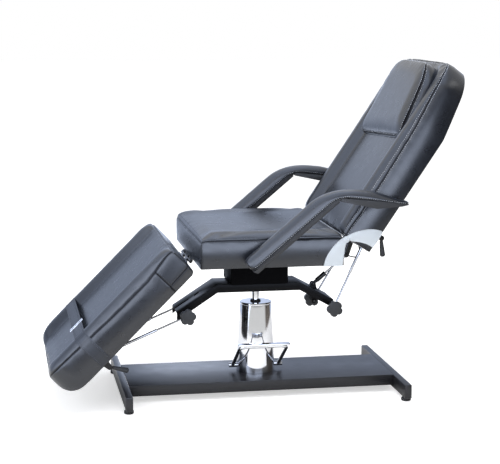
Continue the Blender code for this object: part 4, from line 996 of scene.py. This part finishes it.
class BED_OT_leg_rest(bpy.types.Operator):
    """Upholster the leg rest and lay its strap with the chrome buckle over it"""

    bl_idname = "bed.leg_rest"
    bl_label = "Leg rest"

    def execute(self, context):
        plan = sizes()
        total = plan.leg_length - plan.leg_start
        # A corner patch of the hide is sewn on each side: this long, and up to this share of the height.
        patch, patch_top = 0.092, 0.30
        form = {
            "length": total,
            "half": lambda s: plan.half_width - end_fall(total - s, plan.leg_round),
            "low": lambda s: (plan.leg_base + 0.75 * end_fall(total - s, plan.leg_round)
                              + 0.8 * end_fall(s, 0.018)),
            "seam": lambda s: (plan.leg_seam - 0.3 * end_fall(s, 0.028)
                               - 0.22 * end_fall(total - s, plan.leg_round)
                               - 0.017 * eased(s / 0.14) * eased((0.66 - s) / 0.46)),
            "height": plan.leg_seam, "shoulder": 0.012, "lean": 3.0, "tuck": (0.012, 0.40),
            "rise": plan.leg_rise, "valley": -0.010, "crest": 0.064, "slope": 0.060, "crown": 0.003,
            "round": (0.040, 0.060), "bulge": (0.002, 0.008),
            "cross_seams": (patch,), "long_seams": ((patch_top, patch),),
        }
        back_to_front = Matrix.Diagonal((-1.0, 1.0, 1.0, 1.0))
        start = Matrix.Translation((-plan.leg_start, 0.0, 0.0))
        place = hinge_frame("leg_lift", plan.leg_angle) @ start @ back_to_front
        first = plan.strap_start - plan.leg_start
        band = [first + plan.strap_width * share for share in (0.0, 0.125, 0.25, 0.5, 0.75, 0.875, 1.0)]
        tip = [total - plan.leg_round * share for share in TIP_CUTS]
        corner = [patch - 0.005, patch - 0.0025, patch, patch + 0.0025, patch + 0.005]
        levels = (0.255, 0.278, patch_top, 0.322, 0.345)
        piece, skin = upholstered("leg_upholstery", form, "leg", "leg_cushion", place, 11.0,
                                  band + tip + corner, levels)
        outward(piece)
        lines = edge_lines(piece, skin, 1, *LOW_SIDES, ("low", "end", 0))
        across, level = skin.nearest(0, corner[0]), skin.nearest(2, levels[-1])
        for which in (0, -1):
            lines.append(surface_line(piece, skin.row(i=across, j=which)[2:-2]))
            lines.append(surface_line(piece, skin.row(j=which, k=level)[1:across + 1]))
        stitches("leg_stitching", lines, "leg", "thread dark")
        self.build_strap(piece, skin, band)
        refined("leg_buckle", "leg", "bright_chrome", bevel=0.0016, segments=3)
        return {"FINISHED"}

    def build_strap(self, piece, skin, band):
        """The strap: a folded band of the same hide, taut over the two bolsters, its edges stitched."""
        vertices = piece.data.vertices
        upright = Vector((math.sin(-sizes().leg_angle), 0.0, math.cos(sizes().leg_angle)))
        lines = []
        for row in (skin.nearest(0, at) for at in band):
            numbers = skin.row(i=row, j=0)[1:-1] + skin.row(i=row, k=-1) + skin.row(i=row, j=-1)[::-1][1:-1]
            line = [vertices[n].co + vertices[n].normal * STRAP_GAP for n in numbers]
            rise = [point.dot(upright) for point in line]
            left = max(range(len(line) // 2), key=lambda n: rise[n])
            right = max(range(len(line) // 2, len(line)), key=lambda n: rise[n])
            for n in range(left + 1, right):
                level = rise[left] + (rise[right] - rise[left]) * (n - left) / (right - left)
                line[n] = line[n] + upright * max(0.0, level - rise[n])
            lines.append(line)
        count = len(lines[0])
        points = [point for line in lines for point in line]
        faces = [(r * count + n, r * count + n + 1, (r + 1) * count + n + 1, (r + 1) * count + n)
                 for r in range(len(lines) - 1) for n in range(count - 1)]
        strap = mesh_piece("strap_band", points, faces)
        if strap.data.polygons[len(faces) // 2].normal.dot(upright) < 0:
            strap.data.flip_normals()
        wall = strap.modifiers.new("Thickness", "SOLIDIFY")
        wall.thickness = STRAP_THICK
        wall.offset = 1.0
        bevelled(strap, 0.0007, 2, 50)
        smooth(strap, 50)
        put_on(strap, "leg", "strap_webbing", "leg_strap")
        edges = []
        for line in (lines[1], lines[-2]):
            lifted = []
            for n, point in enumerate(line):
                run = line[min(n + 1, count - 1)] - line[max(n - 1, 0)]
                lean = run.cross(lines[-1][n] - lines[0][n]).normalized()
                # The thread lies on top, or outside where the strap runs down a side.
                up = lean.dot(upright)
                if up < -0.3 or (abs(up) <= 0.3 and lean.y * point.y < 0):
                    lean.negate()
                lifted.append((point + lean * STRAP_THICK, lean))
            edges.append(lifted)
        stitches("strap_stitching", edges, "leg", "thread dark")


class BED_OT_pillow(bpy.types.Operator):
    """Sew the wedge-shaped head pillow"""

    bl_idname = "bed.pillow"
    bl_label = "Head pillow"

    def execute(self, context):
        plan = sizes()
        total, half = plan.pillow_length, plan.pillow_width / 2
        along = cuts(total, plan.skin_pitch)
        across = (cuts(2 * half, plan.skin_pitch) - half) / half
        up = cuts(1.0, 0.13, edges=(0.0, 0.04, 0.10, 0.18, 0.28))
        skin = Skin(along, across, up)
        s, t, h = skin.at(0), skin.at(1), skin.at(2)
        share = s / total
        # Narrower towards the head, its head corners well rounded, and thicker there than at its lower edge.
        wide = half * (1 - 0.13 * share) - end_fall(total - s, 0.100) * 0.9 - end_fall(s, 0.020) * 0.8
        thick = plan.pillow_thickness * (0.48 + 0.52 * share ** 1.2)
        side = 0.005 + 0.72 * plan.pillow_thickness * share ** 1.1 - 0.3 * end_fall(total - s, 0.030)
        round_side = 0.010 * np.abs(2 * h - 0.9) ** 2
        y = t * (wide - round_side)
        z = h * side
        ends = crowned(s, 0.055) * crowned(total - s, 0.055)
        top = np.maximum(thick - side, 0.004) * crowned(wide - np.abs(y), 0.055) * ends
        z = np.where(skin.upper, z + top, z)
        x = s + plan.pillow_skew * (1 - t) / 2 * (1 - share)
        swell = (1 - t ** 4) * np.sin(np.pi * np.clip(h, 0, 1))
        x = np.where(skin.on(0, 0), x - 0.006 * swell, x)
        x = np.where(skin.on(0, 1), x + 0.008 * swell, x)
        z = np.where(skin.seam, z - 0.0012, z)
        points = puckered(np.stack([x, y, z], axis=1), skin.seam, 0.0024, 0.020, 0.018, 17.0)
        piece = mesh_piece("pillow_upholstery", points, skin.quads())
        creased(piece, skin.seam)
        swollen(piece, skin.seam | skin.under, 0.0025)
        rounded_off(piece)
        start = Matrix.Translation((plan.pillow_start, 0.0, plan.pillow_base))
        settle(piece, hinge_frame("back_recline", plan.back_angle) @ start)
        put_on(piece, "back", "slate_vinyl", "pillow")
        lines = edge_lines(piece, skin, 1, ("top", "side", 0), ("top", "side", 1), ("top", "end", 0),
                           ("top", "end", 1), *LOW_SIDES)
        stitches("pillow_stitching", lines, "back")
        return {"FINISHED"}


def bezier(points, share):
    """A point of a quadratic curve."""
    a, b, c = points
    rest = 1 - share
    return a * rest * rest + b * 2 * rest * share + c * share * share


def crossing(first, second):
    """Where two lines of the XZ plane meet, each given by a point and a way."""
    (p, d), (q, e) = first, second
    scale = d.x * e.z - d.z * e.x
    gap = q - p
    return p + d * ((gap.x * e.z - gap.z * e.x) / scale)


# Stations along an arm pad: below the elbow, round it and above it, and at its pinched front and thin tip.
LOWER_STEPS, BEND_STEPS, UPPER_STEPS = 26, 14, 18
PINCHED, TAPERED = 3, 12


class BED_OT_arm_pads(bpy.types.Operator):
    """Upholster the armrests: one pad for each side, bending over its elbow"""

    bl_idname = "bed.arm_pads"
    bl_label = "Arm pads"

    def execute(self, context):
        for side, sign in SIDES:
            self.build_pad(side, sign)
        return {"FINISHED"}

    def outline(self):
        """Lower and upper line of a pad in the XZ plane, station by station."""
        plan = sizes()
        lower = hinge_frame("arm_swing_near", plan.lower_arm_angle)
        upper = hinge_frame("arm_elbow_near", plan.upper_arm_angle)
        way_lower, way_upper = (arm.to_3x3() @ Vector((1, 0, 0)) for arm in (lower, upper))
        run, tip = plan.arm_lower_length, plan.arm_upper_length
        # Heights above the line of pivots: the boards' tops, the lower pad's top and the upper pad's top.
        base, high, tall = 0.0064, 0.0064 + plan.arm_pad, 0.0345
        rails = []
        for low_z, up_z, before, after in ((base, base, 0.030, 0.024), (high, tall, 0.085, 0.075)):
            first = lower @ Vector((run - before, 0.0, low_z))
            last = upper @ Vector((after, 0.0, up_z))
            corner = crossing((first, way_lower), (last, way_upper))
            front = lower @ Vector((-0.022, 0.0, low_z))
            line = [front.lerp(first, step / LOWER_STEPS) for step in range(LOWER_STEPS)]
            line += [bezier((first, corner, last), step / BEND_STEPS) for step in range(BEND_STEPS)]
            for step in range(UPPER_STEPS + 1):
                x = after + (tip - after) * step / UPPER_STEPS
                drop = 0.0 if low_z == up_z else (tall - 0.0115) * eased((x / tip - 0.42) / 0.58)
                line.append(upper @ Vector((x, 0.0, up_z - float(drop))))
            rails.append(line)
        return rails

    def build_pad(self, side, sign):
        """Loft one pad between its two lines, closed at both ends."""
        plan = sizes()
        low, high = self.outline()
        half = plan.arm_width / 2
        middle = sign * (plan.arm_inner + half)
        # Half of the pad's section: share of the half width across, share of the thickness up.
        shape = [(-0.5, 0.0), (-0.88, 0.0), (-0.975, 0.035), (-0.985, 0.10), (-0.958, 0.135), (-1.0, 0.185),
                 (-1.0, 0.28), (-0.985, 0.40), (-0.94, 0.53), (-0.865, 0.66), (-0.755, 0.78), (-0.60, 0.885),
                 (-0.40, 0.96), (-0.2, 0.995), (0.0, 1.005)]
        shape += [(-a, b) for a, b in reversed(shape[:-1])]
        seam, stitched = 4, 5
        count = len(shape)
        last = len(low) - 1
        points, faces = [], []
        for n, (a, b) in enumerate(zip(low, high)):
            pinch = float(crowned(np.float64(n + 0.35), PINCHED)) if n < PINCHED else 1.0
            taper = 1.0 - 0.10 * float(eased((n - last + TAPERED) / TAPERED))
            for across, up in shape:
                reach = half * across * taper * (0.90 + 0.10 * pinch)
                raised = 0.5 + (up - 0.5) * (0.55 + 0.45 * pinch) if n < PINCHED else up
                point = a.lerp(b, raised)
                wrinkle = noise.noise(Vector((point.x * 45, sign * 3 + across * 2, point.z * 45))) * 0.0011
                puff = (b - a).normalized() * wrinkle * up
                points.append(Vector((point.x, middle + reach, point.z)) + puff)
        for n in range(last):
            for m in range(count):
                k = (m + 1) % count
                faces.append((n * count + m, n * count + k, (n + 1) * count + k, (n + 1) * count + m))
        faces.append(tuple(range(count)))
        faces.append(tuple(last * count + m for m in range(count)))
        piece = mesh_piece("arm_upholstery_" + side, points, faces)
        creased(piece, [n * count + m for n in range(last + 1) for m in (seam, count - 1 - seam)], 0.0040)
        rounded_off(piece, 2)
        rows = [surface_line(piece, [n * count + m for n in range(1, last)])
                for m in (stitched, count - 1 - stitched)]
        put_on(piece, None, "slate_vinyl", "arm_lower_pad_" + side, "arm_upper_pad_" + side)
        thread = stitches("arm_stitching_" + side, rows, None)
        bodies = ["arm_lower_" + side, "arm_upper_" + side]
        for soft in (piece, thread):
            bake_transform(soft)
        for part, body in zip(("lower", "upper"), bodies):
            refined("arm_%s_board_%s" % (part, side), body, "black_board", bevel=0.0012)


class BED_OT_side_panels(bpy.types.Operator):
    """Cut the white panels that cover the hinge on both sides, lapped and riveted where they meet"""

    bl_idname = "bed.side_panels"
    bl_label = "White side panels"

    def execute(self, context):
        plan = sizes()
        hinge = Vector(JOINTS["back_recline"]["pos_m"])
        level, raised = Matrix.Translation(hinge), local_frame(hinge, plan.back_angle)
        eye = plan.hinge_eye
        # Outlines about the hinge, along and up: the seat's panel, and the backrest's along its own length.
        seat = [(-0.0117, -0.0905), (-0.0092, -0.0685), (-0.0055, -0.0418), (-0.0030, -0.0209),
                (0.0008, -0.0080), (0.0020, 0.0000), (0.0005, 0.0085), (-0.0060, 0.0070),
                (-0.0261, -0.0060), (-0.0400, -0.0185), (-0.0520, -0.0330), (-0.0620, -0.0480),
                (-0.0705, -0.0640), (-0.0775, -0.0905)]
        back = [(0.0122, 0.0028), (0.0250, -0.0045), (0.0376, -0.0128), (0.0525, -0.0260), (0.0663, -0.0401),
                (0.0760, -0.0540), (0.0835, -0.0680), (0.0895, -0.0860), (0.0905, -0.0925), (0.0757, -0.0955),
                (0.0542, -0.0955), (0.0270, -0.0945), (0.0248, -0.0690), (0.0177, -0.0455), (0.0090, -0.0280),
                (0.0047, -0.0180)]
        turns = [math.radians(-70 - 290 * step / 26) for step in range(27)]
        lap = back + [(eye * math.cos(turn), eye * math.sin(turn)) for turn in turns[:-3]]
        # The panels reach 11 mm in. The backrest's lap lies over the seat's panel, outside its own backing.
        low, face = plan.half_width - 0.011, plan.half_width + 0.0006
        for side, sign in SIDES:
            panel = self.plate("seat_white_panel_" + side, seat, sign, low, face)
            self.hang(panel, level, "seat", "white_vinyl", "seat_panel_" + side)
            backing = self.plate("backing", back, sign, low, face + 0.0004)
            panel = self.plate("back_white_panel_" + side, lap, sign, face + 0.0003, face + 0.0019)
            joined(panel, backing)
            self.hang(panel, raised, "back", "white_vinyl", "back_panel_" + side)
            self.rivets(side, sign, face + 0.0017, raised)
        return {"FINISHED"}

    def plate(self, name, outline, sign, inner, outer):
        """A plate from an outline, between two distances from the bed's middle, with a rounded rim."""
        points = [Vector((x, sign * inner, z)) for x, z in outline]
        piece = mesh_piece(name, points, [tuple(range(len(points)))])
        bpy.ops.object.mode_set(mode="EDIT")
        bpy.ops.mesh.select_all(action="SELECT")
        thickness = (0.0, sign * (outer - inner), 0.0)
        bpy.ops.mesh.extrude_region_move(TRANSFORM_OT_translate={"value": thickness})
        bpy.ops.object.mode_set(mode="OBJECT")
        outward(piece)
        bevelled(piece, min(0.0018, 0.45 * (outer - inner)), 3, 60)
        smooth(piece, 50)
        return piece

    def hang(self, piece, place, body, slot, *nodes):
        """Move a piece to its hinge and dress it."""
        settle(piece, place)
        put_on(piece, body, slot, *nodes)

    def rivets(self, side, sign, face, place):
        """The hinge rivet and the lap's own rivet: low steel domes."""
        domes = []
        for u, w in ((0.0, 0.0), (0.0073, -0.0078)):
            bpy.ops.mesh.primitive_uv_sphere_add(segments=20, ring_count=10, radius=0.0021,
                                                 location=(u, sign * face, w), scale=(1.0, 0.45, 1.0))
            domes.append(just_added("hinge_rivets_" + side))
        joined(*domes)
        bpy.ops.object.shade_smooth()
        self.hang(domes[0], place, "back", "steel_rod")


class BED_OT_pump(bpy.types.Operator):
    """Turn the chrome pump cover, the piston and the wiper ring"""

    bl_idname = "bed.pump"
    bl_label = "Hydraulic pump"

    def execute(self, context):
        low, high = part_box("pump_cover")
        wide = (high.x - low.x) / 2
        top = wide * 0.8
        tall = high.z - low.z
        # Radius and height along the cover: foot, taper, groove, rolled rim, flat top and raised collar.
        shell = [(0.0002, 0.0), (wide - 0.0012, 0.0), (wide - 0.0002, 0.0004), (wide, 0.0014)]
        shell += [(wide + (top - wide) * share, tall * share) for share in (0.12, 0.3, 0.5, 0.7, 0.85, 0.94)]
        shell += [(top + 0.0002, tall - 0.0085), (top - 0.0012, tall - 0.0080), (top - 0.0012, tall - 0.0062),
                  (top + 0.0012, tall - 0.0056), (top + 0.0016, tall - 0.0048), (top + 0.0014, tall - 0.0016),
                  (top + 0.0002, tall - 0.0004), (top - 0.0014, tall), (top - 0.0020, tall),
                  (top - 0.0040, tall), (0.0235, tall), (0.0215, tall), (0.0205, tall + 0.0010),
                  (0.0172, tall + 0.0010), (0.0172, tall - 0.004), (0.0002, tall - 0.004)]
        self.turned("pump_shell", shell, low.z, "base", "bright_chrome", ["pump_cover"], 96)
        low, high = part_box("piston")
        radius = (high.x - low.x) / 2
        stem = [(0.0002, low.z), (radius - 0.001, low.z), (radius, low.z + 0.001), (radius, high.z - 0.012),
                (radius + 0.004, high.z - 0.012), (radius + 0.004, high.z - 0.001), (0.0002, high.z - 0.001)]
        self.turned("piston_stem", stem, 0.0, "piston", "bright_chrome", ["piston"], 64)
        low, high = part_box("wiper_ring")
        inner, outer = radius + 0.0003, (high.x - low.x) / 2
        ring = [(inner, low.z), (outer, low.z), (outer + 0.0006, low.z + 0.0015), (outer, high.z - 0.002),
                (outer - 0.0012, high.z - 0.0006), (outer - 0.003, high.z), (inner, high.z)]
        self.turned("wiper_seal", ring, 0.0, "base", "foot_rubber", ["wiper_ring"], 64, closed=True)
        refined("pump_cylinder", "base", "black_enamel")
        return {"FINISHED"}

    def turned(self, name, outline, lift, body, slot, nodes, steps, closed=False):
        """Spin an outline about the pump's axis."""
        mesh = bpy.data.meshes.new(name)
        links = [(n, n + 1) for n in range(len(outline) - 1)]
        if closed:
            links.append((len(outline) - 1, 0))
        mesh.from_pydata([(PUMP_X + radius, 0.0, lift + z) for radius, z in outline], links, [])
        piece = new_piece(name, mesh)
        bpy.ops.object.mode_set(mode="EDIT")
        bpy.ops.mesh.select_all(action="SELECT")
        bpy.ops.mesh.spin(steps=steps, angle=2 * math.pi, center=(PUMP_X, 0.0, 0.0), axis=(0.0, 0.0, 1.0))
        bpy.ops.mesh.select_all(action="SELECT")
        bpy.ops.mesh.remove_doubles(threshold=2 * WELD)
        bpy.ops.mesh.select_all(action="DESELECT")
        bpy.ops.mesh.select_mode(type="EDGE")
        bpy.ops.mesh.select_non_manifold()
        bpy.ops.mesh.edge_face_add()
        bpy.ops.mesh.select_mode(type="VERT")
        bpy.ops.object.mode_set(mode="OBJECT")
        outward(piece)
        smooth(piece, 30)
        return put_on(piece, body, slot, *nodes)


class BED_OT_pedal(bpy.types.Operator):
    """Round the edges of the chrome foot pedal and its tread"""

    bl_idname = "bed.pedal"
    bl_label = "Foot pedal"

    def execute(self, context):
        refined("pedal", "pedal", "bright_chrome", bevel=0.0009, segments=2, degrees=55)
        return {"FINISHED"}


class BED_OT_steelwork(bpy.types.Operator):
    """Finish the enamelled steel: base, beam, riser, hinges and brackets"""

    bl_idname = "bed.steelwork"
    bl_label = "Steelwork"

    def execute(self, context):
        groups = (("base", "black_enamel base", ("base_plate", "rail_foot", "rail_head")),
                  # The beam and the riser take the dulled enamels, whose lost gloss is partly painted shade.
                  ("seat", "black_enamel satin", ("beam",)), ("seat", "black_enamel matt", ("riser",)),
                  ("seat", "black_enamel", ("seat_hinge_near", "seat_hinge_far", "seat_leaf")),
                  ("back", "black_enamel", ("back_hinge_near", "back_hinge_far", "back_bracket")),
                  ("leg", "black_enamel", ("leg_leaf", "leg_bracket")),
                  ("lock_housing", "black_enamel", ("lock_housing",)),
                  ("seat", "black_board", ("seat_board",)), ("back", "black_board", ("back_board",)),
                  ("leg", "black_board", ("leg_board",)))
        for body, slot, nodes in groups:
            for node in nodes:
                refined(node, body, slot)
        for number in range(1, 5):
            refined("foot_%d" % number, "base", "foot_rubber", bevel=0.0006)
        return {"FINISHED"}


class BED_OT_fittings(bpy.types.Operator):
    """Finish the struts, knobs, levers and the release cable"""

    bl_idname = "bed.fittings"
    bl_label = "Struts and fittings"

    def execute(self, context):
        for label in ("back", "leg"):
            for side, _ in SIDES:
                for part in ("rod", "tube"):
                    name = "%s_%s_%s" % (label, part, side)
                    refined(name, name, "steel_rod", bevel=0.0003, degrees=45)
        refined("lock_rod", "lock_rod", "steel_rod", bevel=0.0003, degrees=45)
        for knob in ("knob_back_near", "knob_back_far", "knob_leg_near"):
            refined(knob, knob, "knob_plastic", bevel=0.0030, segments=4, degrees=60)
        for lever in ("back_lever", "leg_lever"):
            refined(lever, lever, "foot_rubber", bevel=0.0012, segments=3, degrees=50)
        refined("release_cable", "back", "knob_plastic", bevel=0.0, degrees=70)
        return {"FINISHED"}


class BED_PT_panel(bpy.types.Panel):
    """Lists the bed's pieces in the sidebar"""

    bl_idname = "BED_PT_panel"
    bl_label = "Massage bed"
    bl_space_type = "VIEW_3D"
    bl_region_type = "UI"
    bl_category = "Bed"

    def draw(self, context):
        for operator in OPERATORS:
            self.layout.operator(operator.bl_idname)
        for group in (context.scene.bed_sizes, context.scene.bed_colours, context.scene.bed_stage):
            box = self.layout.box()
            for name in group.bl_rna.properties.keys():
                if name not in ("rna_type", "name"):
                    box.prop(group, name)


GROUPS = (("bed_sizes", BedSizes), ("bed_colours", BedColours), ("bed_stage", BedStage))
OPERATORS = (BED_OT_stage, BED_OT_seat, BED_OT_backrest, BED_OT_leg_rest, BED_OT_pillow, BED_OT_arm_pads,
             BED_OT_side_panels, BED_OT_pump, BED_OT_pedal, BED_OT_steelwork, BED_OT_fittings)


def register():
    """Register the groups, the operators and the panel."""
    for name, group in GROUPS:
        bpy.utils.register_class(group)
        setattr(bpy.types.Scene, name, bpy.props.PointerProperty(type=group))
    for operator in OPERATORS:
        bpy.utils.register_class(operator)
    bpy.utils.register_class(BED_PT_panel)


def unregister():
    """Take everything back out."""
    bpy.utils.unregister_class(BED_PT_panel)
    for operator in reversed(OPERATORS):
        bpy.utils.unregister_class(operator)
    for name, group in reversed(GROUPS):
        delattr(bpy.types.Scene, name)
        bpy.utils.unregister_class(group)


def main():
    """Dress the bed piece by piece."""
    register()
    for operator in OPERATORS:
        family, name = operator.bl_idname.split(".")
        getattr(getattr(bpy.ops, family), name)()


if __name__ == "__main__":
    main()
